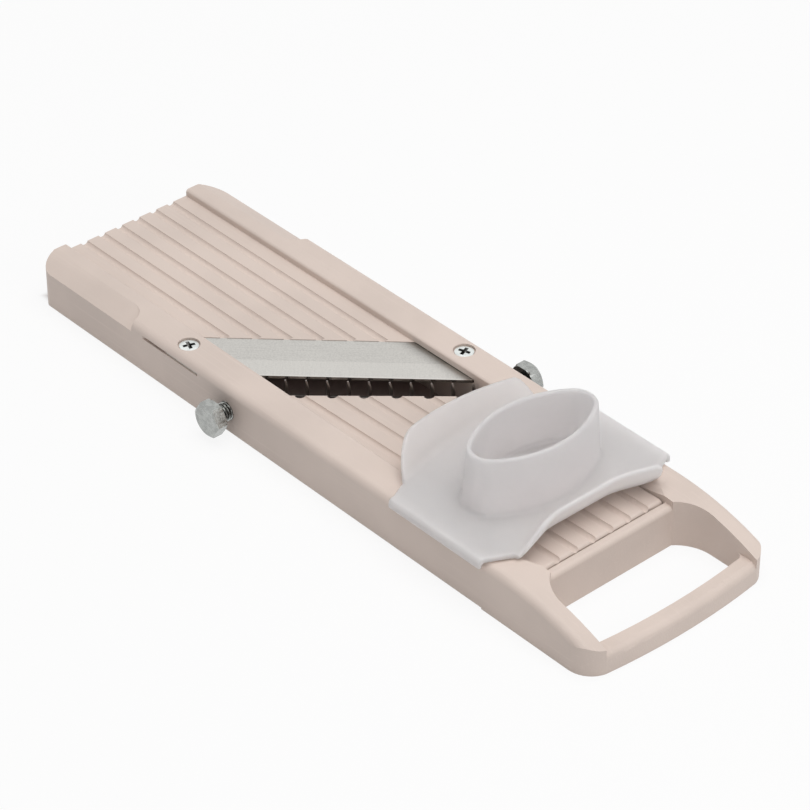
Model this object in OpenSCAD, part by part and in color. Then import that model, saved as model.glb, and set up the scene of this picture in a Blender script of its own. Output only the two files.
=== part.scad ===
// Hand-held mandoline slicer: moulded frame with a skewed main blade, an upstanding comb blade
// clamped by two side bolts, a tilting feed plate set by a thumbscrew, and a sliding finger guard.
// Along X positions are measured from the tail edge; the whole part is then centred on the origin.

/* [Body] */
// Length from the tail edge to the crown of the handle bar
body_length = 324; // [310:1:350]
// Width across the outer walls
body_width = 93; // [91:0.5:97]
// Height of the rail tops above the table
rail_height = 21; // [21:0.5:24]
// Width of one rail, from the channel to the outer wall face
rail_width = 15.5; // [15:0.25:16.5]
// How far the rails stand above the tail deck
rail_step = 3; // [2.6:0.1:3.4]
// Thickness of the outer walls and the rail roofs
wall = 3; // [2.6:0.1:3.2]
// Thickness of the inner rail walls
inner_wall = 3; // [2.8:0.1:3.2]
// Thickness of the tail deck
deck_thickness = 4; // [3.6:0.1:4.4]
// Rounding of the rails' outer top edges
edge_round = 3.4; // [2:0.2:3.6]
// Plan radius of the two tail corners
tail_corner = 8.5; // [6:0.5:10]
// Rounding under the tail edge
tail_round = 5; // [3:0.5:6]

/* [Grooves] */
// Distance between neighbouring grooves
groove_pitch = 9; // [8:0.25:10]
// Width of a groove at the surface
groove_width = 3.4; // [2.6:0.1:4]
// Depth of a groove
groove_depth = 1.2; // [0.8:0.1:1.4]

/* [Side bevels] */
// Length of the bevel along each rail at the tail
bevel_length = 62; // [50:1:64]
// How far the bevel reaches in across the rail top
bevel_inset = 9; // [7:0.25:10]
// How far the bevel drops at the outer wall
bevel_drop = 4.4; // [3:0.2:5]

/* [Handle] */
// Distance from the crown of the bar back to the end wall
handle_reach = 42.5; // [41:0.5:48]
// Thickness of the end wall
end_wall = 3.9; // [3.5:0.1:4.5]
// Gap between the top of the end wall and the rail tops
end_wall_drop = 3; // [2.8:0.1:4]
// Rounding of the end wall's top edge towards the finger gap
wall_round = 2; // [1:0.1:2.5]
// Thickness of the bar at its middle
bar_thickness = 7; // [6:0.25:8]
// Height of the bar above the table
bar_height = 9; // [8:0.1:9.2]
// Rounding of the bar's outer top edge
bar_round = 3; // [2:0.1:4]
// Thickness of the arms beside the finger gap
arm_thickness = 8.3; // [7.5:0.1:9]
// Plan radius where the finger gap widens from the end wall to the arms
gusset_radius = 17; // [14:0.5:20]
// Plan radius of the two handle corners
handle_corner = 11; // [9:0.5:13]
// How far the middle of the bar bulges beyond its ends
bar_crown = 2; // [1:0.1:3]
// Radius on which the arms fall towards the bar
drop_radius = 122; // [116:1:140]
// Length of the arms that follow the falling radius
drop_length = 51; // [49:0.5:52]
// Plan radius of the scoops in the rails' inner top edges, beside the end of the feed plate
scoop_radius = 42; // [36:1:48]
// How far the scoops reach out into the rail tops
scoop_depth = 5; // [3:0.25:5.5]
// Distance from the end wall back to the middle of the scoops
scoop_setback = 19.5; // [16:0.5:24]

/* [Main blade] */
// Length of the tail deck on the centre line, up to the blade
deck_length = 113.7; // [110:0.1:120]
// Angle of the blade from square across the body
blade_angle = 43.8; // [40:0.2:45]
// Width of the blade, square to its edge
blade_width = 24.7; // [24:0.1:27]
// Thickness of the blade
blade_thickness = 1.2; // [1:0.1:1.4]
// How far the blade lies below the deck surface
blade_sink = 0.2; // [0.1:0.05:0.4]
// Part of the blade's width that is ground to the edge
bevel_share = 0.42; // [0.3:0.01:0.5]
// Thickness left at the ground edge
edge_thickness = 0.25; // [0.2:0.05:0.4]
// Distance of each blade end from the outer wall face
blade_end_inset = 0.6; // [0.4:0.1:1.5]
// Side length of the corner cut off each blade end
blade_clip = 14; // [10:0.5:15]

/* [Blade screws] */
// Distance of the screws from the outer wall face
screw_inset = 7.65; // [7.4:0.05:8]
// Distance of the screws from the blade's back edge, along the body
screw_setback = 12.6; // [11.5:0.1:14]
// Screw shank radius
screw_radius = 2; // [1.75:0.05:2]
// Screw head radius
screw_head_radius = 3.9; // [3.6:0.05:4]
// Depth of the countersunk head
screw_head_depth = 2; // [1.8:0.1:2.1]
// Screw length below the head
screw_length = 8; // [7:0.1:9]

/* [Comb blade] */
// Distance from the cutting edge to the comb, along the body
comb_setback = 4.2; // [3.8:0.1:4.8]
// Comb sheet thickness
comb_thickness = 1; // [0.8:0.1:1.2]
// Distance between comb teeth across the body
tooth_pitch = 5.84; // [5:0.04:8]
// Thickness of one tooth
tooth_thickness = 0.8; // [0.6:0.1:1]
// Length of one tooth along the body
tooth_length = 3; // [2.4:0.1:3.4]
// Height of the comb's base strip above the table
comb_foot = 3; // [2:0.25:4]
// Depth of the comb's base strip
comb_depth = 8; // [7:0.25:9]

/* [Side bolts] */
// Bolt thread radius
bolt_radius = 3.95; // [3.4:0.05:4]
// Width of the hex head across its flats
bolt_flats = 13; // [11:0.5:13]
// Thickness of the hex head
bolt_head = 5.3; // [4:0.1:6]
// Gap between the head and the wall when clamped
bolt_standoff = 5.2; // [4:0.1:6]
// Height of the bolt axis
bolt_height = 10; // [9.5:0.1:10]
// Radius of the bolt's plain tip
bolt_tip_radius = 2.5; // [2:0.1:2.8]
// Wall thickness of the bolts' threaded bushes
bush_wall = 1.3; // [1:0.1:1.4]
// Length of the bolts' threaded bushes
bush_length = 8; // [6:0.5:8]
// Depth of the bushes below the outer wall face
bush_cover = 2; // [1:0.25:2.2]

/* [Feed plate] */
// Distance from the cutting edge to the plate's throat edge, along the body
throat_setback = 10; // [9.5:0.1:12]
// Height of the blade above the plate's throat edge
throat_drop = 3.3; // [3:0.1:3.6]
// How far the plate's handle end stands above the deck
plate_rise = 0.3; // [0.1:0.1:0.4]
// Thickness of the plate
plate_thickness = 3; // [2.8:0.1:3.2]
// Side clearance between the plate and the rails
plate_clearance = 0.4; // [0.3:0.05:0.8]
// Gap between the plate's handle end and the end wall
plate_end_gap = 1; // [0.8:0.1:1.5]
// Rounding of the plate's top edge at its handle end
plate_round = 2; // [1:0.1:2.4]
// Height of the two ribs below the plate
plate_rib = 1.5; // [1:0.1:1.6]
// Hinge pin radius
pin_radius = 1.5; // [1.25:0.05:1.6]
// Distance from the end wall to the hinge pin
pin_setback = 6.5; // [6:0.1:7.5]
// Height of the hinge pin
pin_height = 13; // [12.6:0.1:13.2]

/* [Adjuster] */
// Distance from the far side bolt to the thumbscrew, along the body
adjuster_offset = 28.9; // [28:0.1:40]
// Width of the cross bridge
bridge_width = 12; // [11:0.5:14]
// Thickness of the cross bridge
bridge_thickness = 2; // [1.8:0.1:2.2]
// Height of the underside of the cross bridge
bridge_height = 7.2; // [7.1:0.1:7.3]
// Radius of the bridge screws
bridge_screw_radius = 1.75; // [1.5:0.05:2]
// Head radius of the bridge screws
bridge_screw_head = 3.5; // [3:0.1:3.8]
// Thumbscrew thread radius
stud_radius = 2.95; // [2.45:0.05:3]
// Thumbscrew knob radius
knob_radius = 13; // [11:0.5:15]
// Thumbscrew knob thickness
knob_thickness = 3.7; // [3.4:0.1:3.8]
// Number of grip scallops round the knob
scallop_count = 14; // [8:1:18]
// Radius of the pad on top of the thumbscrew
pad_radius = 6; // [5:0.25:7]

/* [Finger guard] */
// Distance from the tail edge to the middle of the guard
guard_x = 241; // [239:0.5:242]
// Thickness of the guard's plate
guard_thickness = 2.5; // [2:0.1:2.8]
// Thickness of the guard's side skirts
skirt_thickness = 1.8; // [1.6:0.1:2]
// Length of the side skirts
skirt_length = 47; // [44:0.5:50]
// How far the skirts hang below the rail tops
skirt_hang = 1.7; // [1.2:0.1:2]
// Gap between the skirts and the outer walls
skirt_gap = 0.4; // [0.3:0.05:0.6]
// Radius of the guard's tail edge
guard_arc = 100; // [90:1:120]
// Distance from the guard's middle to its tail edge
guard_tail = 34.7; // [33:0.1:36]
// Distance from the guard's middle to the foot of its handle lip
guard_front = 24; // [23:0.1:26]
// Height of the upturned lips above the plate
lip_height = 8.8; // [7:0.1:9]
// Thickness of the upturned lips
lip_thickness = 2.2; // [1.8:0.1:2.6]
// Half width of the upturned lips
lip_half_width = 34; // [32:0.5:36]
// Height of the grip cup above the plate
cup_height = 24; // [18:0.5:26]
// Distance of the cup's end arcs from its middle
cup_spread = 21; // [19:0.5:21.5]
// Radius of the cup's end arcs
cup_end_radius = 9; // [8:0.25:10]
// Radius of the cup's long side arcs
cup_side_radius = 44.3; // [42:0.5:50]
// How far the cup's middle lies from the guard's middle, towards the handle
cup_shift = 1.5; // [0:0.25:2]
// Wall thickness of the cup
cup_wall = 2; // [1.8:0.1:2.4]
// How much wider the cup is at its foot
cup_draft = 1.4; // [0.8:0.1:2]
// Height of the grip pips below the guard's plate
pip_height = 2.3; // [1.8:0.1:2.4]

/* [Hidden] */
$fn = 64;
near = -1;
far = 1;
eps = 0.01;
through = 60;
running = 0.05;
slip = 0.15;
seat_gap = 0.3;

// Body
half_body = body_width / 2;
channel_width = body_width - 2 * rail_width;
half_channel = channel_width / 2;
cavity_half = (rail_width - wall - inner_wall) / 2;
deck_z = rail_height - rail_step;
rail_mid = (half_channel + inner_wall + half_body - wall) / 2;
roof_z = rail_height - wall;
bevel_roof_z = rail_height - bevel_drop - wall;
groove_radius = (pow(groove_width / 2, 2) + pow(groove_depth, 2)) / (2 * groove_depth);
groove_margin = 6;
groove_count = 2 * floor(((channel_width - 2 * groove_margin) / groove_pitch + 1) / 2);
groove_rows = [for (i = [0 : groove_count - 1]) (i - (groove_count - 1) / 2) * groove_pitch];
rib_depth = 5;
rib_thickness = 2;
rib_rows = [40, 78];
foot_round = 1;

// Handle
wall_x = body_length - handle_reach;
hole_x = wall_x + end_wall;
drop_x = body_length - drop_length;
end_wall_z = rail_height - end_wall_drop;
hole_half = half_body - arm_thickness;
gusset_land = 0.4;
gusset_depth = hole_half - half_channel - gusset_land;
gusset_x = hole_x + sqrt(2 * gusset_radius * gusset_depth - pow(gusset_depth, 2));
hole_corner = 3;
drop_sweep = 30;
drop_lead = 4;
crown_half = half_body - handle_corner;
crown_radius = (pow(crown_half, 2) + pow(bar_crown, 2)) / (2 * bar_crown);
crown_x = body_length - crown_radius;
bar_sweep = 30;
bar_inner_radius = crown_radius - bar_thickness;
hole_corner_x = crown_x + sqrt(pow(bar_inner_radius, 2) - pow(hole_half - hole_corner, 2)) + 5 * eps;

// Main blade
blade_run = blade_width / cos(blade_angle);
edge_x = deck_length + blade_run;
blade_z = deck_z - blade_sink;
blade_foot_z = blade_z - blade_thickness;
ledge_x = deck_length + 0.54 * blade_run;
blade_half = half_body - blade_end_inset;
slot_headroom = 0.25;

// Blade screws
screw_y = half_body - screw_inset;
screw_top_z = rail_height - 0.4;
screw_boss_radius = cavity_half + 1.25;
screw_boss_z = 6;
insert_wall = 1;
insert_length = 6.5;
recess_width = 0.6;
recess_depth = 0.8;
driver_slot = 0.9;
driver_span = 4.4;
driver_depth = 1.3;

// Comb blade
comb_x = edge_x + comb_setback;
comb_end = half_channel + 2;
comb_top_z = comb_foot + comb_depth;
tooth_margin = 1.5;
tooth_count = 2 * floor((half_channel - tooth_margin) / tooth_pitch) + 1;
tooth_rows = [for (i = [0 : tooth_count - 1]) (i - (tooth_count - 1) / 2) * tooth_pitch];
comb_half_run = comb_thickness / 2 / cos(blade_angle);
comb_slip_run = slip / cos(blade_angle);

// Side bolts
bolt_boss_radius = 6.4;
bolt_tip = comb_end + 0.2;
bolt_shoulder = half_channel + inner_wall + 2;
bolt_head_y = half_body + bolt_standoff;
bush_radius = bolt_radius + running + bush_wall;
bush_foot = half_body - bush_cover - bush_length;

// Feed plate
throat_x = edge_x + throat_setback;
throat_z = blade_z - throat_drop;
plate_end_x = wall_x - plate_end_gap;
plate_end_z = deck_z + plate_rise;
plate_half = half_channel - plate_clearance;
plate_slope = atan((plate_end_z - throat_z) / (plate_end_x - throat_x));
plate_rib_y = 22;
plate_rib_width = 2;
pin_x = wall_x - pin_setback;
pin_end = half_channel + inner_wall - 0.8;
barrel_radius = pin_radius + running + 1.35;

// Adjuster
adjuster_x = bolt_x(far) + adjuster_offset;
bridge_top_z = bridge_height + bridge_thickness;
bridge_half = half_body - wall - 0.8;
bridge_boss_radius = cavity_half + 0.15;
bridge_screw_head_height = 2.3;
bridge_screw_length = 9;
bridge_bush_radius = stud_radius + running + 1.5;
bridge_flange_radius = bridge_bush_radius + 1;
bridge_flange = 1;
plate_fall = (plate_end_x - adjuster_x) * tan(plate_slope);
plate_under_z = plate_end_z - plate_fall - plate_thickness / cos(plate_slope);
pad_top_z = plate_under_z - seat_gap;
pad_foot_z = bridge_top_z + 1.2;
pad_skirt = 1;
stud_tip_radius = stud_radius - 0.95;
stud_foot_z = knob_foot_z() + 0.4;
stud_head = 1;
stud_head_radius = stud_radius + 1.6;
knob_recess = 1.8;
scallop_radius = 1.7;

// Finger guard
guard_foot_z = rail_height + seat_gap;
guard_top_z = guard_foot_z + guard_thickness;
guard_half = half_body + skirt_gap + skirt_thickness;
skirt_foot_z = rail_height - skirt_hang;
guard_arc_x = guard_x - guard_tail + guard_arc;
lip_rise = 0.25;
lip_shoulder = 20;
front_reach = lip_height - 0.6;
front_corner = 29;
cup_centre = sqrt(pow(cup_side_radius - cup_end_radius, 2) - pow(cup_spread, 2));
cup_join = cup_spread * cup_side_radius / (cup_side_radius - cup_end_radius);
pip_foot_radius = 1.2;
pip_tip_radius = 0.4;
pip_columns = [-12, 0, 12];
pip_rows = [-20, -10, 0, 10, 20];

function knob_foot_z() = bridge_height - 2 - knob_thickness;
function skewed(x, y) = x + y * tan(blade_angle);
function screw_x(side) = skewed(deck_length, side * screw_y) + screw_setback;
function bolt_x(side) = skewed(comb_x, side * (comb_end - 0.7));

body_tint = [0.86, 0.79, 0.75];
steel_tint = [0.75, 0.76, 0.77];
brass_tint = [0.78, 0.63, 0.33];
guard_tint = [0.88, 0.90, 0.92, 0.8];
knob_tint = [0.80, 0.73, 0.69];

// Moves a piece from tail-edge coordinates to the part's own frame.
module placed() translate([-body_length / 2, 0, 0]) children();

// Repeats its children on both sides of the body.
module both_sides() {
    children();
    mirror([0, 1, 0]) children();
}

// Extrudes an XZ outline across the body.
module across(width) rotate([90, 0, 0]) linear_extrude(width, center = true) children();

// Extrudes a YZ outline along the body, from x = 0.
module along(length) rotate([90, 0, 90]) linear_extrude(length) children();

// What a rounding takes off a corner at the origin that has its solid towards -x and -y.
module corner_waste(radius) translate([-radius, -radius]) difference() {
    square(radius + 1);
    circle(radius);
}

// Points a piece that is drawn along +Z outwards through a side wall.
module outwards(x, side, z) translate([x, 0, z]) rotate([side == far ? -90 : 90, 0, 0]) children();

// A slab between two lines that run at the blade's angle.
module skewed_slab(x_from, x_to, half_width, z_from, z_to)
    translate([0, 0, z_from])
        linear_extrude(z_to - z_from)
            polygon([
                [skewed(x_from, -half_width), -half_width],
                [skewed(x_to, -half_width), -half_width],
                [skewed(x_to, half_width), half_width],
                [skewed(x_from, half_width), half_width]
            ]);

// ---- Frame ----

module frame_outline() {
    front_x = body_length - bar_crown - handle_corner;
    intersection() {
        union() {
            translate([tail_corner, -half_body]) square([front_x - tail_corner, body_width]);
            translate([0, -half_body + tail_corner]) square([front_x, body_width - 2 * tail_corner]);
            translate([front_x - eps, -crown_half]) square([body_length - front_x + eps, 2 * crown_half]);
            for (side = [near, far]) {
                translate([tail_corner, side * (half_body - tail_corner)]) circle(tail_corner);
                translate([front_x, side * crown_half]) circle(handle_corner);
            }
        }
        translate([crown_x, 0]) circle(crown_radius, $fn = 128);
    }
}

module rail_section() {
    translate([-half_body, foot_round]) square([body_width, rail_height - edge_round - foot_round]);
    translate([-half_body + foot_round, 0]) square([body_width - 2 * foot_round, rail_height - edge_round]);
    translate([-half_body + edge_round, 0]) square([body_width - 2 * edge_round, rail_height]);
    for (side = [near, far]) {
        translate([side * (half_body - edge_round), rail_height - edge_round]) circle(edge_round);
        translate([side * (half_body - foot_round), foot_round]) circle(foot_round, $fn = 32);
    }
}

module falling_section() translate([drop_radius - rail_height, 0]) rotate(-90) {
    translate([-half_body, 0]) square([body_width, rail_height - edge_round]);
    translate([-half_body + edge_round, 0]) square([body_width - 2 * edge_round, rail_height]);
    for (side = [near, far])
        translate([side * (half_body - edge_round), rail_height - edge_round]) circle(edge_round);
}

module rail_envelope() {
    along(drop_x) rail_section();
    translate([drop_x, 0, rail_height - drop_radius])
        rotate([90, 0, 0])
            rotate(90 - drop_sweep)
                rotate_extrude(angle = drop_sweep + drop_lead, $fn = 180) falling_section();
}

module tail_profile() {
    translate([tail_round, 0]) square([body_length, rail_height + 1]);
    translate([0, tail_round]) square([body_length, rail_height]);
    translate([tail_round, tail_round]) circle(tail_round);
}

module frame_block() intersection() {
    linear_extrude(rail_height + 1) frame_outline();
    rail_envelope();
    across(body_width + 2) tail_profile();
}

// The bevel is a plane that cuts the rail's outer top edge, closed by a rounded end.
module tail_bevel() intersection() {
    translate([0, 0, rail_height - bevel_drop - 1]) linear_extrude(bevel_drop + 2) {
        translate([-1, half_body - bevel_inset]) square([bevel_length - bevel_inset + 1, bevel_inset + 1]);
        intersection() {
            translate([bevel_length - bevel_inset, half_body]) circle(bevel_inset);
            translate([bevel_length - 2 * bevel_inset, half_body - bevel_inset])
                square([2 * bevel_inset, bevel_inset + 1]);
        }
    }
    translate([-1, 0, 0]) along(bevel_length + 2) polygon([
        [half_body - bevel_inset, rail_height],
        [half_body + 1, rail_height - bevel_drop * (bevel_inset + 1) / bevel_inset],
        [half_body + 1, rail_height + 1],
        [half_body - bevel_inset, rail_height + 1]
    ]);
}

module deck_grooves() for (y = groove_rows)
    translate([-1, y, deck_z - groove_depth + groove_radius])
        rotate([0, 90, 0]) cylinder(h = skewed(deck_length, y) + 1, r = groove_radius);

// The open channel, the pocket for the blade and the throat in front of its ledge.
module channel() {
    translate([-1, -half_channel, deck_z]) cube([wall_x + 1, channel_width, rail_height]);
    skewed_slab(deck_length - slip, ledge_x + 1, half_channel, blade_foot_z, rail_height);
    translate([0, 0, -1]) linear_extrude(rail_height + 2) polygon([
        [skewed(ledge_x, -half_channel), -half_channel],
        [wall_x, -half_channel],
        [wall_x, half_channel],
        [skewed(ledge_x, half_channel), half_channel]
    ]);
}

// The top of the end wall, with its rounded edge.
module end_wall_top() {
    translate([wall_x - 1, -half_channel, end_wall_z]) cube([end_wall + 2, channel_width, rail_height]);
    translate([hole_x, 0, end_wall_z]) across(channel_width) corner_waste(wall_round);
}

module finger_gap() translate([0, 0, -1]) linear_extrude(rail_height + 2) difference() {
    intersection() {
        translate([hole_x, -hole_half]) square([handle_reach, 2 * hole_half]);
        translate([crown_x, 0]) circle(bar_inner_radius, $fn = 128);
    }
    both_sides() {
        translate([gusset_x - gusset_radius, hole_half]) mirror([1, 0]) corner_waste(gusset_radius);
        translate([hole_corner_x, hole_half]) corner_waste(hole_corner);
    }
}

// The room above the bar, which is turned about the centre of its crown.
module bar_relief() intersection() {
    translate([crown_x, 0, 0]) rotate(-bar_sweep / 2) rotate_extrude(angle = bar_sweep, $fn = 180) {
        translate([bar_inner_radius - hole_corner, bar_height])
            square([bar_thickness + hole_corner + 1, rail_height]);
        translate([crown_radius, bar_height]) corner_waste(bar_round);
    }
    translate([hole_x, -hole_half, 0]) cube([handle_reach, 2 * hole_half, rail_height + 1]);
}

// A conical scoop that opens the rail's inner top edge.
module rail_scoop() intersection() {
    translate([wall_x - scoop_setback, half_channel + scoop_depth - scoop_radius, deck_z])
        cylinder(h = 2 * rail_step, r1 = scoop_radius - scoop_depth, r2 = scoop_radius + scoop_depth);
    translate([wall_x - scoop_setback - scoop_radius, half_channel - 1, deck_z])
        cube([2 * scoop_radius, rail_width, rail_height]);
}

module rail_cavity() {
    near_y = half_channel + inner_wall;
    depth_y = half_body - wall - near_y;
    translate([wall, near_y, -1]) cube([bevel_length, depth_y, bevel_roof_z + 1]);
    translate([wall + bevel_length - eps, near_y, -1])
        cube([wall_x - bevel_length - wall, depth_y, roof_z + 1]);
}

module deck_cavity() {
    translate([0, 0, -1]) linear_extrude(deck_z - deck_thickness + 1) polygon([
        [wall, -half_channel], [skewed(ledge_x, -half_channel) - wall, -half_channel],
        [skewed(ledge_x, half_channel) - wall, half_channel], [wall, half_channel]
    ]);
    skewed_slab(ledge_x - wall - 1, ledge_x + 1, half_channel, -1, deck_z - deck_thickness - rib_depth);
}

module deck_ribs() for (x = rib_rows)
    translate([x, -half_channel - 1, deck_z - deck_thickness - rib_depth])
        cube([rib_thickness, channel_width + 2, rib_depth + 1]);

module screw_seat(side) translate([screw_x(side), side * screw_y, 0]) {
    translate([0, 0, screw_top_z - recess_depth])
        cylinder(h = recess_depth + 2, r = screw_head_radius + recess_width);
    countersink(0);
    translate([0, 0, blade_foot_z - insert_length])
        cylinder(h = insert_length + eps, r = screw_radius + insert_wall);
    translate([0, 0, screw_boss_z + 1]) cylinder(h = rail_height, r = screw_radius + slip);
}

// The cone of a countersunk head, grown by a clearance.
module countersink(gap) translate([0, 0, screw_top_z - screw_head_depth])
    cylinder(h = screw_head_depth, r1 = screw_radius + gap, r2 = screw_head_radius + gap);

module bush_bore(side) {
    outwards(bolt_x(side), side, bolt_height) {
        translate([0, 0, bush_foot]) cylinder(h = bush_length, r = bush_radius);
        translate([0, 0, bolt_shoulder - 1]) cylinder(h = through, r = bolt_radius + slip);
        translate([0, 0, half_channel + 1]) cylinder(h = inner_wall + 2, r = bolt_tip_radius + slip);
    }
}

module comb_slots() skewed_slab(
    comb_x - comb_half_run - comb_slip_run, comb_x + comb_half_run + comb_slip_run,
    comb_end + 0.1, -1, comb_top_z + slip
);

module bridge_seat() translate([adjuster_x, 0, 0]) {
    translate([-bridge_width / 2 - slip, -half_channel - inner_wall - 1, -1])
        cube([bridge_width + 2 * slip, 2 * (half_channel + inner_wall + 1), bridge_top_z + 1]);
    for (side = [near, far]) translate([0, side * rail_mid, bridge_height])
        cylinder(h = bridge_screw_length + 0.5, r = bridge_screw_radius);
}

module frame_bosses() {
    for (side = [near, far]) {
        translate([screw_x(side), side * rail_mid, screw_boss_z])
            cylinder(h = blade_foot_z - screw_boss_z, r = screw_boss_radius);
        outwards(bolt_x(side), side, bolt_height) translate([0, 0, half_channel + inner_wall - 1])
            cylinder(h = half_body - wall - half_channel - inner_wall + 2, r = bolt_boss_radius);
        translate([adjuster_x, side * rail_mid, bridge_top_z])
            cylinder(h = roof_z - bridge_top_z + 1, r = bridge_boss_radius);
    }
}

module frame() color(body_tint) placed() difference() {
    union() {
        difference() {
            frame_block();
            channel();
            deck_cavity();
            both_sides() {
                rail_cavity();
                rail_scoop();
                tail_bevel();
            }
            end_wall_top();
            bar_relief();
        }
        deck_ribs();
        frame_bosses();
    }
    deck_grooves();
    finger_gap();
    skewed_slab(
        deck_length - slip, edge_x + slip, half_body + 1, blade_foot_z, blade_z + slot_headroom
    );
    comb_slots();
    bridge_seat();
    translate([pin_x, 0, pin_height]) rotate([90, 0, 0])
        cylinder(h = 2 * pin_end, r = pin_radius, center = true);
    for (side = [near, far]) {
        screw_seat(side);
        bush_bore(side);
    }
}

// ---- Blades and their fastenings ----

module main_blade() color(steel_tint) placed() difference() {
    skewed_slab(deck_length, edge_x, blade_half, blade_foot_z, blade_z);
    ground_bevel();
    for (side = [near, far]) {
        translate([screw_x(side), side * screw_y, 0])
            cylinder(h = through, r = screw_radius + slip, center = true);
        blade_corner(side);
    }
}

// The ground face falls from full thickness to the cutting edge.
module ground_bevel() {
    turn = atan2(blade_thickness - edge_thickness, bevel_share * blade_width);
    translate([deck_length + (1 - bevel_share) * blade_run, 0, blade_z])
        rotate(90 - blade_angle)
            rotate([-turn, 0, 0])
                translate([-through * 2, -blade_width, 0])
                    cube([through * 4, blade_width, blade_thickness + 1]);
}

// Cuts off the corner that would stand out past the outer wall.
module blade_corner(side) {
    corner_x = side == near ? skewed(deck_length, -blade_half) : skewed(edge_x, blade_half);
    cut_depth = blade_clip / 3;
    translate([corner_x, side * blade_half, -1]) rotate(side == near ? 0 : 180)
        linear_extrude(rail_height) polygon([
            [-1, -1], [blade_clip, -1], [blade_clip, 0], [skewed(0, cut_depth), cut_depth], [-1, 0]
        ]);
}

module blade_screw(side) color(steel_tint) placed()
    translate([screw_x(side), side * screw_y, 0]) difference() {
        union() {
            countersink(0);
            translate([0, 0, screw_top_z - screw_head_depth - screw_length])
                cylinder(h = screw_length + eps, r = screw_radius);
        }
        for (turn = [0, 90]) rotate(turn) translate([0, 0, screw_top_z - driver_depth / 2 + eps])
            cube([driver_span, driver_slot, driver_depth], center = true);
    }

module blade_insert(side) color(brass_tint) placed()
    translate([screw_x(side), side * screw_y, blade_foot_z - insert_length]) difference() {
        cylinder(h = insert_length, r = screw_radius + insert_wall);
        translate([0, 0, -1]) cylinder(h = insert_length + 2, r = screw_radius + running);
    }

module comb_tooth() across(tooth_thickness) polygon([
    [-tooth_length / 2, comb_top_z - 1], [tooth_length / 2, comb_top_z - 1],
    [tooth_length / 2, blade_z - 2.4], [0, blade_z - 0.5],
    [-0.6 * tooth_length, blade_z], [-tooth_length / 2, blade_z - 1.2]
]);

module comb_blade() color(steel_tint) placed() {
    skewed_slab(comb_x - comb_half_run, comb_x + comb_half_run, comb_end, comb_foot, comb_top_z);
    for (y = tooth_rows) translate([skewed(comb_x, y), y, 0]) comb_tooth();
}

module bolt_bush(side) color(brass_tint) placed() outwards(bolt_x(side), side, bolt_height)
    translate([0, 0, bush_foot]) difference() {
        cylinder(h = bush_length, r = bush_radius);
        translate([0, 0, -1]) cylinder(h = bush_length + 2, r = bolt_radius + running);
    }

module clamp_bolt(side) color(steel_tint) placed() outwards(bolt_x(side), side, bolt_height) {
    translate([0, 0, bolt_tip]) cylinder(h = bolt_shoulder - bolt_tip + eps, r = bolt_tip_radius);
    translate([0, 0, bolt_shoulder]) cylinder(h = bolt_head_y - bolt_shoulder + eps, r = bolt_radius);
    translate([0, 0, bolt_head_y]) intersection() {
        cylinder(h = bolt_head, r = bolt_flats / sqrt(3), $fn = 6);
        cylinder(h = bolt_head, r1 = bolt_flats / sqrt(3) + 3, r2 = bolt_flats / 2);
    }
}

// ---- Feed plate and its adjuster ----

module hinge_pin() color(steel_tint) placed() translate([pin_x, 0, pin_height])
    rotate([90, 0, 0]) cylinder(h = 2 * pin_end, r = pin_radius, center = true);

module feed_plate() color(body_tint) placed() difference() {
    union() {
        tilted_plate();
        translate([pin_x, 0, pin_height]) rotate([90, 0, 0])
            cylinder(h = 2 * plate_half, r = barrel_radius, center = true);
    }
    translate([pin_x, 0, pin_height]) rotate([90, 0, 0])
        cylinder(h = channel_width, r = pin_radius + running, center = true);
}

// The plate is drawn level, with its top handle edge at the origin, and then tilted.
module tilted_plate() translate([plate_end_x, 0, plate_end_z]) rotate([0, -plate_slope, 0]) {
    throat = (throat_x - plate_end_x) / cos(plate_slope);
    difference() {
        translate([0, 0, -plate_thickness]) linear_extrude(plate_thickness) polygon([
            [skewed(throat, -plate_half), -plate_half], [0, -plate_half],
            [0, plate_half], [skewed(throat, plate_half), plate_half]
        ]);
        for (y = groove_rows) translate([1, y, groove_radius - groove_depth])
            rotate([0, -90, 0]) cylinder(h = 2 - skewed(throat, y), r = groove_radius);
        across(channel_width) corner_waste(plate_round);
    }
    both_sides() translate([skewed(throat, plate_half) + 4, plate_rib_y, -plate_thickness - plate_rib])
        cube([-skewed(throat, plate_half) - 8 - pin_setback, plate_rib_width, plate_rib + 1]);
}

module adjuster_bridge() color(steel_tint) placed() translate([adjuster_x, 0, bridge_height]) difference() {
    translate([-bridge_width / 2, -bridge_half, 0]) cube([bridge_width, 2 * bridge_half, bridge_thickness]);
    translate([0, 0, -1]) cylinder(h = bridge_thickness + 2, r = bridge_bush_radius);
    for (side = [near, far]) translate([0, side * rail_mid, -1])
        cylinder(h = bridge_thickness + 2, r = bridge_screw_radius + slip);
}

module bridge_bush() color(brass_tint) placed() translate([adjuster_x, 0, bridge_height]) difference() {
    union() {
        cylinder(h = bridge_thickness, r = bridge_bush_radius);
        translate([0, 0, -bridge_flange]) cylinder(h = bridge_flange, r = bridge_flange_radius);
    }
    translate([0, 0, -through / 2]) cylinder(h = through, r = stud_radius + running);
}

module bridge_screws() color(steel_tint) placed() for (side = [near, far])
    translate([adjuster_x, side * rail_mid, bridge_height]) difference() {
        union() {
            translate([0, 0, -bridge_screw_head_height])
                cylinder(h = bridge_screw_head_height, r1 = bridge_screw_head - 0.6, r2 = bridge_screw_head);
            cylinder(h = bridge_screw_length, r = bridge_screw_radius);
        }
        for (turn = [0, 90]) rotate(turn)
            translate([0, 0, -bridge_screw_head_height + driver_depth / 2 - eps])
                cube([driver_span, driver_slot, driver_depth], center = true);
    }

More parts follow.
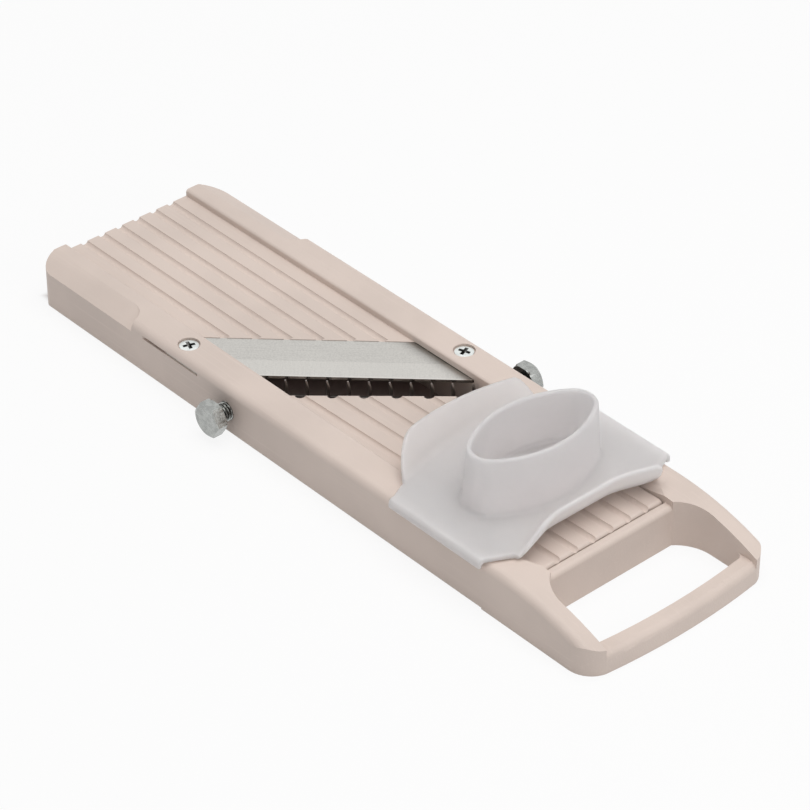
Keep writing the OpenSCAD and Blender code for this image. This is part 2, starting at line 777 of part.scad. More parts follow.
module adjuster_pad() color(steel_tint) placed() translate([adjuster_x, 0, pad_foot_z]) difference() {
    union() {
        cylinder(h = pad_top_z - pad_foot_z - pad_skirt, r = pad_radius);
        translate([0, 0, pad_top_z - pad_foot_z - pad_skirt])
            cylinder(h = pad_skirt, r1 = pad_radius, r2 = pad_radius - 1.5);
    }
    translate([0, 0, -1]) cylinder(h = pad_skirt + 1.7, r = stud_tip_radius + running);
}

module thumbscrew_stud() color(steel_tint) placed() translate([adjuster_x, 0, 0]) {
    translate([0, 0, stud_foot_z]) cylinder(h = stud_head, r = stud_head_radius);
    translate([0, 0, stud_foot_z]) cylinder(h = pad_foot_z - 0.1 - stud_foot_z, r = stud_radius);
    translate([0, 0, stud_foot_z]) cylinder(h = pad_foot_z + 1.5 - stud_foot_z, r = stud_tip_radius);
}

module thumbscrew_knob() color(knob_tint) placed() translate([adjuster_x, 0, knob_foot_z()]) difference() {
    cylinder(h = knob_thickness, r = knob_radius);
    translate([0, 0, knob_thickness - knob_recess])
        cylinder(h = knob_recess + 1, r = bridge_flange_radius + 0.7);
    translate([0, 0, stud_foot_z - knob_foot_z()]) cylinder(h = stud_head, r = stud_head_radius);
    translate([0, 0, stud_foot_z - knob_foot_z()]) cylinder(h = knob_thickness, r = stud_radius);
    for (i = [0 : scallop_count - 1]) rotate(i * 360 / scallop_count)
        translate([knob_radius + 0.5, 0, -1]) cylinder(h = knob_thickness + 2, r = scallop_radius, $fn = 32);
}

// ---- Finger guard ----

module guard_outline() {
    corner_x = guard_x - skirt_length / 2;
    intersection() {
        translate([guard_arc_x, 0]) circle(guard_arc, $fn = 128);
        polygon([
            [guard_x - guard_tail - 1, -guard_half], [corner_x + skirt_length, -guard_half],
            [guard_x + front_corner, -lip_half_width - 2.4], [guard_x + front_corner + 3.4, -lip_half_width],
            [guard_x + guard_front, -lip_shoulder], [guard_x + guard_front, lip_shoulder],
            [guard_x + front_corner + 3.4, lip_half_width], [guard_x + front_corner, lip_half_width + 2.4],
            [corner_x + skirt_length, guard_half], [guard_x - guard_tail - 1, guard_half]
        ]);
    }
}

module guard_skirt() {
    skirt_x = guard_x - skirt_length / 2;
    translate([skirt_x, guard_half - skirt_thickness, skirt_foot_z])
        cube([skirt_length, skirt_thickness, guard_top_z - skirt_foot_z - eps]);
}

// The elevation that the lips are trimmed to: level in the middle, falling at both ends.
module lip_window(shoulder) translate([-through, 0, 0]) along(body_length + 2 * through) polygon([
    [-lip_half_width, guard_foot_z + lip_rise], [lip_half_width, guard_foot_z + lip_rise],
    [lip_half_width, guard_top_z + lip_rise], [shoulder, guard_top_z + lip_height],
    [-shoulder, guard_top_z + lip_height], [-lip_half_width, guard_top_z + lip_rise]
]);

module tail_lip() intersection() {
    translate([guard_arc_x, 0, guard_foot_z]) rotate(140) rotate_extrude(angle = 80, $fn = 180) polygon([
        [guard_arc - lip_thickness * sqrt(2), 0], [guard_arc, 0],
        [guard_arc + lip_height + guard_thickness, lip_height + guard_thickness],
        [guard_arc + lip_height + guard_thickness - lip_thickness * sqrt(2), lip_height + guard_thickness]
    ]);
    lip_window(lip_half_width - 4);
}

module handle_lip() intersection() {
    foot_x = guard_x + guard_front;
    across(2 * lip_half_width) polygon([
        [foot_x - lip_thickness, guard_foot_z], [foot_x + 0.6, guard_foot_z],
        [foot_x + front_reach + lip_thickness, guard_top_z + lip_height],
        [foot_x + front_reach, guard_top_z + lip_height]
    ]);
    lip_window(lip_shoulder);
}

// One long side of the cup's oval, about a centre on the opposite side.
module side_arc(height, grow, centre) translate([centre, 0, 0])
    cylinder(h = height, r1 = cup_side_radius + grow + cup_draft, r2 = cup_side_radius + grow, $fn = 128);

// Solid oval of four arcs with drafted sides; grow < 0 gives the inside.
module drafted_oval(height, grow) {
    both_sides() translate([0, cup_spread, 0])
        cylinder(h = height, r1 = cup_end_radius + grow + cup_draft, r2 = cup_end_radius + grow);
    intersection() {
        side_arc(height, grow, -cup_centre);
        side_arc(height, grow, cup_centre);
        cube([through, 2 * cup_join, through * 2], center = true);
    }
}

module grip_cup() translate([guard_x + cup_shift, 0, guard_top_z - eps]) difference() {
    drafted_oval(cup_height, 0);
    translate([0, 0, eps]) drafted_oval(cup_height + 1, -cup_wall);
}

module grip_pips() for (x = pip_columns, y = pip_rows)
    translate([guard_x + x, y, guard_foot_z - pip_height])
        cylinder(h = pip_height + 0.2, r1 = pip_tip_radius, r2 = pip_foot_radius, $fn = 24);

module finger_guard() color(guard_tint) placed() {
    translate([0, 0, guard_foot_z]) linear_extrude(guard_thickness) guard_outline();
    both_sides() guard_skirt();
    tail_lip();
    handle_lip();
    grip_cup();
    grip_pips();
}

frame();
main_blade();
blade_screw(near);  // blade_screw_near
blade_screw(far);  // blade_screw_far
blade_insert(near);  // blade_insert_near
blade_insert(far);  // blade_insert_far
comb_blade();
bolt_bush(near);  // bolt_bush_near
bolt_bush(far);  // bolt_bush_far
hinge_pin();
adjuster_bridge();
bridge_bush();
bridge_screws();
feed_plate();
adjuster_pad();
thumbscrew_stud();
thumbscrew_knob();
clamp_bolt(near);  // clamp_bolt_near
clamp_bolt(far);  // clamp_bolt_far
finger_guard();
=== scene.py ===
"""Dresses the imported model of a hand-held mandoline slicer, and sets up its studio."""

import logging
import math
from dataclasses import dataclass
from enum import Enum
from typing import Callable, Sequence

import bmesh
import bpy
from mathutils import Matrix, Vector


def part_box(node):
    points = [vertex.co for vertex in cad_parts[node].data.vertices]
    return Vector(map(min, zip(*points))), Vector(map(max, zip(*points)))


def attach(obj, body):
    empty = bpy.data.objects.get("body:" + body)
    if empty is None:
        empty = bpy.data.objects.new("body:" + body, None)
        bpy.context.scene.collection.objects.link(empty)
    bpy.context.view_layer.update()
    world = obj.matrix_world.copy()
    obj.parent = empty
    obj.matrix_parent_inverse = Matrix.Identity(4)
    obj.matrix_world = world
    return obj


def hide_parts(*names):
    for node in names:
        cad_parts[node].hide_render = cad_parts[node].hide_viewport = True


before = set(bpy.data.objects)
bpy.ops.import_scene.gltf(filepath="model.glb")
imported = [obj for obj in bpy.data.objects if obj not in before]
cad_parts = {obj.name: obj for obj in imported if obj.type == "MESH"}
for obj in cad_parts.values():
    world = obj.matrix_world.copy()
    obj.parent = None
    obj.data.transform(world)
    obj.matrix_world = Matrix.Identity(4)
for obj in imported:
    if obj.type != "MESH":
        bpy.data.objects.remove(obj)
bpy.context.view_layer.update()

TURN = 2 * math.pi
BLADE_SLANT = math.radians(43.8)
NOISE_BAND = (0.3, 0.7)
CAD_GAP = 3e-6
MESH_GAP = 1e-6
PLACE_GAP = 1e-4
FLAT_WITHIN = math.radians(1.2)
log = logging.getLogger("slicer")

Colour = tuple[float, float, float]
Loop = list[Vector]
EdgeRule = Callable[[bmesh.types.BMEdge], bool]


class Side(Enum):
    """The two sides of the body, as the sign of Y."""

    NEAR = -1
    FAR = 1


class Maths(Enum):
    """The Math node operations that the finishes and the node trees use."""

    ADD = "ADD"
    SUBTRACT = "SUBTRACT"
    MULTIPLY = "MULTIPLY"
    DIVIDE = "DIVIDE"
    LEAST = "MINIMUM"
    MOST = "MAXIMUM"
    SIZE = "ABSOLUTE"
    FRACTION = "FRACT"
    SINE = "SINE"
    COSINE = "COSINE"


# ---- Node trees ----


class Wire:
    """One output socket, with the arithmetic that adds its Math nodes."""

    def __init__(self, book: "NodeBook", socket: bpy.types.NodeSocket) -> None:
        """Keeps the socket and the tree that it belongs to."""
        self.book = book
        self.socket = socket

    def combine(self, operation: Maths, left: object, right: object = 0.0) -> "Wire":
        """Adds one Math node.

        Args:
            operation: What the node works out.
            left: The first value or wire.
            right: The second value or wire, unused by operations of one value.

        Returns:
            The node's result.
        """
        return self.book.node(
            self.book.maths, {"operation": operation.value}, {"Value": left, "Value_001": right}
        )

    def __add__(self, other: object) -> "Wire":
        """This plus another."""
        return self.combine(Maths.ADD, self, other)

    def __radd__(self, other: object) -> "Wire":
        """Another plus this."""
        return self.combine(Maths.ADD, other, self)

    def __sub__(self, other: object) -> "Wire":
        """This less another."""
        return self.combine(Maths.SUBTRACT, self, other)

    def __rsub__(self, other: object) -> "Wire":
        """Another less this."""
        return self.combine(Maths.SUBTRACT, other, self)

    def __mul__(self, other: object) -> "Wire":
        """This times another."""
        return self.combine(Maths.MULTIPLY, self, other)

    def __rmul__(self, other: object) -> "Wire":
        """Another times this."""
        return self.combine(Maths.MULTIPLY, other, self)

    def __truediv__(self, other: object) -> "Wire":
        """This divided by another."""
        return self.combine(Maths.DIVIDE, self, other)

    def least(self, other: object) -> "Wire":
        """The smaller of the two."""
        return self.combine(Maths.LEAST, self, other)

    def most(self, other: object) -> "Wire":
        """The larger of the two."""
        return self.combine(Maths.MOST, self, other)

    def size(self) -> "Wire":
        """The value without its sign."""
        return self.combine(Maths.SIZE, self)

    def fraction(self) -> "Wire":
        """The part after the decimal point."""
        return self.combine(Maths.FRACTION, self)

    def sine(self) -> "Wire":
        """The sine of an angle in radians."""
        return self.combine(Maths.SINE, self)

    def cosine(self) -> "Wire":
        """The cosine of an angle in radians."""
        return self.combine(Maths.COSINE, self)

    def ramp(self, low: float, high: float, start: float = 0.0, end: float = 1.0) -> "Wire":
        """Eases smoothly from one value to another.

        Args:
            low: Where the easing starts.
            high: Where it ends.
            start: The result at or below low.
            end: The result at or above high.

        Returns:
            The eased value.
        """
        return self.book.node(
            "ShaderNodeMapRange",
            {"interpolation_type": "SMOOTHSTEP"},
            {"Value": self, "From Min": low, "From Max": high, "To Min": start, "To Max": end},
        )


class NodeBook:
    """A node tree under construction, whose nodes all come from one method."""

    maths = "ShaderNodeMath"

    def __init__(self, tree: bpy.types.NodeTree) -> None:
        """Starts with an emptied tree."""
        self.tree = tree
        tree.nodes.clear()

    def node(
        self, kind: str, settings: dict | None = None, inputs: dict | None = None, output: str = ""
    ) -> Wire:
        """Adds a node.

        Args:
            kind: The node's type.
            settings: Its own settings, made first.
            inputs: The value or wire of each input, by the socket's name or identifier.
            output: The output's name or identifier, or nothing for the first that is enabled.

        Returns:
            The chosen output.
        """
        made = self.tree.nodes.new(kind)
        for name, value in (settings or {}).items():
            setattr(made, name, value)
        for name, value in (inputs or {}).items():
            self.feed(self._socket(made.inputs, name), value)
        if output:
            return Wire(self, self._socket(made.outputs, output))
        return Wire(self, next(s for s in made.outputs if s.enabled))

    def feed(self, socket: bpy.types.NodeSocket, value: object) -> None:
        """Links a wire to an input, or sets its value."""
        if isinstance(value, Wire):
            self.tree.links.new(value.socket, socket)
        elif isinstance(value, tuple) and socket.type == "RGBA":
            socket.default_value = (*value[:3], 1.0)
        else:
            socket.default_value = value

    def axis(self, at: Wire, name: str) -> Wire:
        """One coordinate, "X", "Y" or "Z", of a vector."""
        return self.node("ShaderNodeSeparateXYZ", None, {"Vector": at}, output=name)

    @staticmethod
    def _socket(sockets: Sequence[bpy.types.NodeSocket], name: str) -> bpy.types.NodeSocket:
        """The socket of that identifier, or else the enabled one of that name."""
        for socket in sockets:
            if socket.identifier == name:
                return socket
        return next(s for s in sockets if s.name == name and s.enabled)


class FinishBook(NodeBook):
    """The node tree of one material, with the patterns that its finish is made of."""

    def __init__(self, name: str) -> None:
        """Makes the material and its Principled shader."""
        self.material = bpy.data.materials.new(name)
        self.material.use_nodes = True
        super().__init__(self.material.node_tree)
        self.shader = self.tree.nodes.new("ShaderNodeBsdfPrincipled")
        self.outlet = self.tree.nodes.new("ShaderNodeOutputMaterial")
        self.tree.links.new(self.shader.outputs["BSDF"], self.outlet.inputs["Surface"])
        self.place = self.node("ShaderNodeTexCoord", output="Object")

    def set(self, **values: object) -> None:
        """Sets or links the shader's sockets; an underscore in a name stands for a space."""
        for name, value in values.items():
            self.feed(self.shader.inputs[name.replace("_", " ")], value)

    def placed(self, turn: Sequence[float] = (0, 0, 0), scale: Sequence[float] = (1, 1, 1)) -> Wire:
        """Object coordinates, turned and then stretched.

        Args:
            turn: Angles about X, Y and Z, in radians.
            scale: Factors along the turned axes.

        Returns:
            The coordinates.
        """
        turned = self.node("ShaderNodeMapping", None, {"Vector": self.place, "Rotation": tuple(turn)})
        return self.node(
            "ShaderNodeVectorMath", {"operation": "MULTIPLY"}, {"Vector": turned, "Vector_001": tuple(scale)}
        )

    def noise(self, at: Wire, scale: float, detail: float = 2.0, rough: float = 0.5) -> Wire:
        """Noise between 0 and 1.

        Args:
            at: The coordinates to read.
            scale: Waves per metre.
            detail: Octaves of finer noise.
            rough: Strength of the finer noise.

        Returns:
            The noise value.
        """
        return self.node(
            "ShaderNodeTexNoise", None,
            {"Vector": at, "Scale": scale, "Detail": detail, "Roughness": rough}, output="Fac",
        )

    def mixed(self, factor: object, first: object, second: object) -> Wire:
        """Mixes two colours."""
        return self.node(
            "ShaderNodeMix", {"data_type": "RGBA"},
            {"Factor_Float": factor, "A_Color": first, "B_Color": second}, output="Result_Color",
        )

    def bump(self, height: Wire, depth: float) -> Wire:
        """Turns a height pattern into a normal.

        Args:
            height: The pattern, between 0 and 1.
            depth: The real height of its waves, in metres.

        Returns:
            The bumped normal.
        """
        return self.node("ShaderNodeBump", None, {"Height": height, "Distance": depth, "Strength": 1.0})


# ---- Finishes ----


def shaded(colour: Colour, share: float) -> Colour:
    """A colour made darker, or lighter with a share above 1, up to full white."""
    return tuple(min(1.0, channel * share) for channel in colour)


@dataclass(frozen=True)
class MouldedPlastic:
    """Opaque plastic from a finely spark-eroded mould."""

    name: str
    colour: Colour
    roughness: float = 0.52
    grain_scale: float = 1500.0
    grain_depth: float = 0.000035
    cloud_scale: float = 22.0
    cloud: float = 0.05
    rub: float = 0.05
    streaks: tuple[float, float, float] = (14, 900, 900)
    gloss: float = 0.42

    def make(self) -> bpy.types.Material:
        """Builds the material: a fine grain, faint clouds of colour and rubbed streaks along the body."""
        book = FinishBook(self.name)
        clouds = book.noise(book.place, self.cloud_scale, 3.0)
        dark, light = shaded(self.colour, 1 - self.cloud), shaded(self.colour, 1 + self.cloud)
        grain = book.noise(book.place, self.grain_scale, 1.0)
        streaks = book.noise(book.placed(scale=self.streaks), 1.0, 2.0)
        worn = streaks.ramp(0.56, 0.72)
        tone = book.mixed(clouds.ramp(*NOISE_BAND), dark, light)
        pale = tuple(min(1.0, c * 1.04 + 0.01) for c in self.colour)
        book.set(
            Base_Color=book.mixed(worn * 0.5, tone, pale),
            Roughness=self.roughness + (clouds - 0.5) * 0.08 - worn * self.rub,
            Normal=book.bump(grain + worn * 0.25, self.grain_depth),
        )
        book.shader.inputs["Specular IOR Level"].default_value = self.gloss
        return book.material


@dataclass(frozen=True)
class MilkyPlastic:
    """Translucent polypropylene, a little bluish where it stands alone."""

    name: str
    colour: Colour
    roughness: float = 0.45
    transmission: float = 0.26
    haze_radius: float = 0.015
    haze: float = 0.90
    index: float = 1.49
    cloud_scale: float = 45.0
    ripple_scale: float = 90.0
    ripple_depth: float = 0.00006
    mark_scale: float = 700.0

    def make(self) -> bpy.types.Material:
        """Builds the material: soft moulding ripples, faint haze clouds and fine handling marks."""
        book = FinishBook(self.name)
        clouds = book.noise(book.place, self.cloud_scale, 3.0)
        ripples = book.noise(book.place, self.ripple_scale, 1.0)
        marks = book.noise(book.placed(turn=(0, 0, 0.4), scale=(1, 9, 3)), self.mark_scale, 2.0)
        dull = shaded(self.colour, 0.95)
        book.set(
            Base_Color=book.mixed(clouds.ramp(*NOISE_BAND), dull, self.colour),
            Roughness=self.roughness + (clouds - 0.5) * 0.10 + marks.ramp(0.6, 0.75) * 0.06,
            Normal=book.bump(ripples + marks * 0.12, self.ripple_depth),
        )
        book.set(
            Transmission_Weight=self.transmission, Subsurface_Weight=self.haze,
            Subsurface_Radius=(1.0, 1.0, 1.0), Subsurface_Scale=self.haze_radius, IOR=self.index,
        )
        return book.material


@dataclass(frozen=True)
class GroundSteel:
    """Blade steel with a drawn grain along it and a ground face along the edge."""

    name: str
    colour: Colour
    edge_x: float
    slant: float
    ground: float
    honed: float = 0.0007
    roughness: float = 0.33
    mottle_scale: float = 1300.0
    far_rail_shade_from: float = 0.0235
    far_rail_shade_to: float = 0.0335
    far_rail_shade: float = 0.62
    ground_edge: float = 0.00012
    honed_edge: float = 0.00008
    coarse: float = 5200.0
    depth: float = 0.000012

    def make(self) -> bpy.types.Material:
        """Builds the material; the grinding lines of the ground face run square to the edge."""
        book = FinishBook(self.name)
        turned = book.placed(turn=(0, 0, self.slant - math.pi / 2))
        along, square = book.axis(turned, "X"), book.axis(turned, "Y")
        flat_x = book.axis(book.place, "X") - book.axis(book.place, "Y") * math.tan(self.slant)
        from_edge = (self.edge_x - flat_x) * math.cos(self.slant)
        on_ground = 1 - from_edge.ramp(self.ground - self.ground_edge, self.ground + self.ground_edge)
        on_hone = 1 - from_edge.ramp(self.honed - self.honed_edge, self.honed + self.honed_edge)
        drawn = book.noise(self._stretched(book, along * 45.0, square * self.coarse), 1.0, 3.0, 0.6)
        cut = book.noise(self._stretched(book, along * self.coarse, square * 60.0), 1.0, 3.0, 0.6)
        lines = drawn * (1 - on_ground) + cut * on_ground
        stains = book.noise(book.place, 60.0, 3.0)
        mottle = book.noise(book.place, self.mottle_scale, 2.0, 0.7)
        dull, bright = shaded(self.colour, 0.80), shaded(self.colour, 1.16)
        tone = book.mixed((lines * 0.5 + mottle * 0.5).ramp(0.36, 0.62), dull, self.colour)
        # Painted shade: the colour darkens towards the far rail, standing in for the rail's dark reflection
        # and the shadow at its slot.
        shade = book.axis(book.place, "Y").ramp(self.far_rail_shade_from, self.far_rail_shade_to) * self.far_rail_shade
        tone = book.mixed(shade, tone, shaded(self.colour, 0.12))
        # Painted highlight: a bright line along the honed cutting edge; the ground face is also a lighter
        # tone.
        book.set(
            Base_Color=book.mixed(
                (on_hone * 0.8 + on_ground * 0.35).least(1.0) * (1 - shade), tone, bright
            ),
            Roughness=self.roughness + (lines - 0.5) * 0.16 + (stains - 0.5) * 0.10 - on_hone * 0.12,
            Normal=book.bump(lines, self.depth),
            Metallic=1.0,
        )
        return book.material

    @staticmethod
    def _stretched(book: FinishBook, first: Wire, second: Wire) -> Wire:
        """Puts two stretched coordinates back into a vector."""
        return book.node("ShaderNodeCombineXYZ", None, {"X": first, "Y": second})


@dataclass(frozen=True)
class BrightMetal:
    """Plated or turned metal with fine marks and clouded plating."""

    name: str
    colour: Colour
    roughness: float = 0.26
    grime_and_shade: Colour = (0.035, 0.033, 0.03)
    grime_share: float = 0.25
    mark_scale: float = 1800.0
    dulling: float = 0.62
    cloud_scale: float = 420.0
    recess_shade_share: float = 0.92
    depth: float = 0.00002

    def make(self) -> bpy.types.Material:
        """Builds the material: a cloudy plating, dark specks, painted shade on faces marked as recesses, and
        fine marks.
        """
        book = FinishBook(self.name)
        clouds = book.noise(book.place, self.cloud_scale, 3.0)
        marks = book.noise(book.placed(turn=(0.5, 0.3, 0.8), scale=(1, 14, 1)), self.mark_scale, 2.0)
        tone = book.mixed(clouds.ramp(0.38, 0.62), shaded(self.colour, self.dulling), self.colour)
        recess_shade = book.node("ShaderNodeAttribute", {"attribute_name": "recess_shade"}, output="Fac")
        # Painted shade: faces marked as recesses take the dark colour, besides the random dark specks.
        specks_and_shade = (clouds.ramp(0.62, 0.8) * self.grime_share).most(recess_shade * self.recess_shade_share)
        book.set(
            Base_Color=book.mixed(specks_and_shade, tone, self.grime_and_shade),
            Roughness=self.roughness + (clouds - 0.5) * 0.2 + marks.ramp(0.5, 0.8) * 0.1,
            Normal=book.bump(marks + clouds, self.depth),
            Metallic=1.0,
        )
        return book.material


# ---- Meshes ----


def finished(
    name: str, bm: bmesh.types.BMesh, material: bpy.types.Material, smooth: float = 35.0
) -> bpy.types.Object:
    """Turns a bmesh into a linked object.

    Args:
        name: The piece's name.
        bm: Its mesh, which is freed.
        material: Its finish.
        smooth: Edges below this angle, in degrees, are shaded smooth.

    Returns:
        The object, at the origin.
    """
    mesh = bpy.data.meshes.new(name)
    bm.to_mesh(mesh)
    bm.free()
    mesh.materials.clear()
    mesh.materials.append(material)
    mesh.shade_smooth()
    mesh.set_sharp_from_angle(angle=math.radians(smooth))
    piece = bpy.data.objects.new(name, mesh)
    bpy.context.scene.collection.objects.link(piece)
    return piece


def baked(piece: bpy.types.Object) -> bpy.types.Object:
    """Applies every modifier of a piece and leaves a plain mesh."""
    bpy.context.view_layer.update()
    graph = bpy.context.evaluated_depsgraph_get()
    mesh = bpy.data.meshes.new_from_object(piece.evaluated_get(graph))
    piece.modifiers.clear()
    piece.data = mesh
    return piece


def loft(bm: bmesh.types.BMesh, loops: Sequence[Loop], capped: bool = True) -> None:
    """Skins a row of closed loops of equal length.

    Args:
        bm: The mesh that gets the skin.
        loops: The loops, in order.
        capped: Whether the first and last loop are closed with a face.
    """
    rings = [[bm.verts.new(point) for point in loop] for loop in loops]
    for first, second in zip(rings, rings[1:]):
        for i, vert in enumerate(first):
            j = (i + 1) % len(first)
            bm.faces.new((vert, first[j], second[j], second[i]))
    if capped:
        bm.faces.new(list(reversed(rings[0])))
        bm.faces.new(rings[-1])


def outward(bm: bmesh.types.BMesh) -> bmesh.types.BMesh:
    """Merges doubles and points every face outwards."""
    bmesh.ops.remove_doubles(bm, verts=bm.verts, dist=MESH_GAP)
    bmesh.ops.recalc_face_normals(bm, faces=bm.faces)
    return bm


def circle(radius: float, z: float, sides: int = 48, x: float = 0.0, y: float = 0.0) -> Loop:
    """A level circle round a place."""
    angles = [TURN * k / sides for k in range(sides)]
    return [Vector((x + radius * math.cos(a), y + radius * math.sin(a), z)) for a in angles]


def eased(share: float) -> float:
    """A share between 0 and 1 that starts and ends gently."""
    share = min(1.0, max(0.0, share))
    return share * share * (3 - 2 * share)


def prism(bm: bmesh.types.BMesh, outline: Sequence[tuple[float, float]], low: float, high: float) -> None:
    """Extrudes an XY outline between two heights."""
    loft(bm, [[Vector((x, y, z)) for x, y in outline] for z in (low, high)])


def rounded(bm: bmesh.types.BMesh, chosen: EdgeRule, radius: float) -> None:
    """Rounds the chosen edges that stand out and whose two faces are wide enough for it."""
    sharp, least_width = math.radians(50), 2.2 * radius
    bm.normal_update()
    edges = []
    for edge in bm.edges:
        if len(edge.link_faces) != 2 or edge.calc_face_angle_signed() < sharp or not chosen(edge):
            continue
        if all(2 * face.calc_area() > least_width * face.calc_perimeter() for face in edge.link_faces):
            edges.append(edge)
    bmesh.ops.bevel(
        bm, geom=edges, offset=radius, offset_type="OFFSET", segments=3, profile=0.5, affect="EDGES",
        clamp_overlap=False, loop_slide=True,
    )


def softened(
    node: str, name: str, material: bpy.types.Material, radius: float,
    chosen: EdgeRule | None = None, wide: float = 0.0,
) -> bpy.types.Object:
    """Copies a CAD node and softens its sharp edges, as a mould leaves them.

    Args:
        node: The CAD node.
        name: The new piece's name.
        material: Its finish.
        radius: Most that any edge is rounded, in metres.
        chosen: Rule that chooses the edges that are rounded more.
        wide: Radius of those edges, in metres.

    Returns:
        The softened copy.
    """
    bm = bmesh.new()
    bm.from_mesh(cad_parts[node].data)
    bmesh.ops.remove_doubles(bm, verts=bm.verts, dist=CAD_GAP)
    bmesh.ops.dissolve_degenerate(bm, dist=CAD_GAP, edges=bm.edges)
    bmesh.ops.dissolve_limit(
        bm, angle_limit=FLAT_WITHIN, verts=bm.verts, edges=bm.edges, delimit={"NORMAL"}
    )
    if chosen:
        rounded(bm, chosen, wide)
    piece = finished(name, bm, material, 40.0)
    edge = piece.modifiers.new("edges", "BEVEL")
    edge.width = radius
    edge.segments = 2
    edge.limit_method = "ANGLE"
    edge.angle_limit = math.radians(34)
    edge.use_clamp_overlap = True
    edge.harden_normals = False
    piece.modifiers.new("shade", "WEIGHTED_NORMAL").keep_sharp = False
    return baked(piece)


def recess_shaded(piece: bpy.types.Object, rule: Callable[[Vector], bool]) -> bpy.types.Object:
    """Marks the faces whose middle meets a rule, for a finish that paints shade on them."""
    mesh = piece.data
    if "recess_shade" not in mesh.attributes:
        mesh.attributes.new("recess_shade", "FLOAT", "CORNER")
    recess_shade = mesh.attributes["recess_shade"]
    for face in mesh.polygons:
        if rule(face.center):
            for corner in face.loop_indices:
                recess_shade.data[corner].value = 1.0
    return piece


# ---- Geometry Nodes ----


class ShapeBook(NodeBook):
    """A Geometry Nodes tree with named inputs, applied once to a piece and then baked."""

    def __init__(self, name: str) -> None:
        """Makes the tree with its geometry and finish sockets."""
        super().__init__(bpy.data.node_groups.new(name, "GeometryNodeTree"))
        self.identifiers: dict[str, str] = {}
        self.tree.interface.new_socket("Geometry", in_out="OUTPUT", socket_type="NodeSocketGeometry")
        self.start = self.tree.nodes.new("NodeGroupInput")
        self.add_input("Geometry", "NodeSocketGeometry")
        self.add_input("Finish", "NodeSocketMaterial")

    def add_input(self, name: str, kind: str = "NodeSocketFloat") -> Wire:
        """Adds a named input and returns its wire."""
        item = self.tree.interface.new_socket(name, in_out="INPUT", socket_type=kind)
        self.identifiers[name] = item.identifier
        return self.input(name)

    def input(self, name: str) -> Wire:
        """The wire of an input that is there."""
        return Wire(self, next(s for s in self.start.outputs if s.identifier == self.identifiers[name]))

    def close(self, shape: Wire) -> None:
        """Ends the tree: instances made real and the finish set."""
        real = self.node("GeometryNodeRealizeInstances", None, {"Geometry": shape})
        dressed = self.node(
            "GeometryNodeSetMaterial", None, {"Geometry": real, "Material": self.input("Finish")}
        )
        end = self.tree.nodes.new("NodeGroupOutput")
        self.tree.links.new(dressed.socket, end.inputs["Geometry"])

    def apply(self, piece: bpy.types.Object, **values: object) -> bpy.types.Object:
        """Runs the tree on a piece.

        Args:
            piece: The piece that holds the tree's starting geometry.
            values: The tree's inputs, by name; an underscore stands for a space.

        Returns:
            The same piece with a plain mesh.
        """
        modifier = piece.modifiers.new("shape", "NODES")
        modifier.node_group = self.tree
        for name, value in values.items():
            modifier[self.identifiers[name.replace("_", " ")]] = value
        return baked(piece)


def row_tree() -> ShapeBook:
    """A tree that repeats its geometry along a straight row."""
    book = ShapeBook("repeat_in_row")
    count = book.add_input("Count", "NodeSocketInt")
    first = book.add_input("First", "NodeSocketVector")
    step = book.add_input("Step", "NodeSocketVector")
    line = book.node(
        "GeometryNodeMeshLine", {"mode": "OFFSET"}, {"Count": count, "Start Location": first, "Offset": step}
    )
    book.close(
        book.node("GeometryNodeInstanceOnPoints", None, {"Points": line, "Instance": book.input("Geometry")})
    )
    return book


def thread_tree() -> ShapeBook:
    """A tree that joins a helical thread along +Z to its geometry, closed and chamfered at both ends."""
    around, rows, spare, whole_turns = 40, 150, 3, 8.0
    book = ShapeBook("helical_thread")
    low, high = book.add_input("Low"), book.add_input("High")
    major, minor = book.add_input("Major"), book.add_input("Minor")
    pitch = book.add_input("Pitch")
    grid = book.node(
        "GeometryNodeMeshGrid", None,
        {"Size X": 1.0, "Size Y": 1.0, "Vertices X": around + 1, "Vertices Y": rows}, output="Mesh",
    )
    at = book.node("GeometryNodeInputPosition")
    share = book.axis(at, "X") + 0.5
    row = (book.axis(at, "Y") + 0.5) * (rows - 1)
    climb = ((row - 1) / (rows - spare)).most(0.0).least(1.0)
    height = (high - low) * climb
    phase = (height / pitch - share + whole_turns).fraction()
    ridge = (1.25 - (phase * 2 - 1).size() * 1.5).most(0.0).least(1.0)
    depth = major - minor
    from_end = height.least(high - low - height)
    radius = (minor + depth * ridge).least(minor + from_end)
    radius = radius * row.least((rows - 1) - row).least(1.0).most(0.0)
    angle = share * TURN
    place = book.node(
        "ShaderNodeCombineXYZ", None,
        {"X": radius * angle.cosine(), "Y": radius * angle.sine(), "Z": height + low},
    )
    moved = book.node("GeometryNodeSetPosition", None, {"Geometry": grid, "Position": place})
    merged = book.node("GeometryNodeMergeByDistance", None, {"Geometry": moved, "Distance": MESH_GAP})
    joined = book.tree.nodes.new("GeometryNodeJoinGeometry")
    book.tree.links.new(merged.socket, joined.inputs[0])
    book.tree.links.new(book.input("Geometry").socket, joined.inputs[0])
    book.close(Wire(book, joined.outputs[0]))
    return book


# ---- Sub-assemblies ----


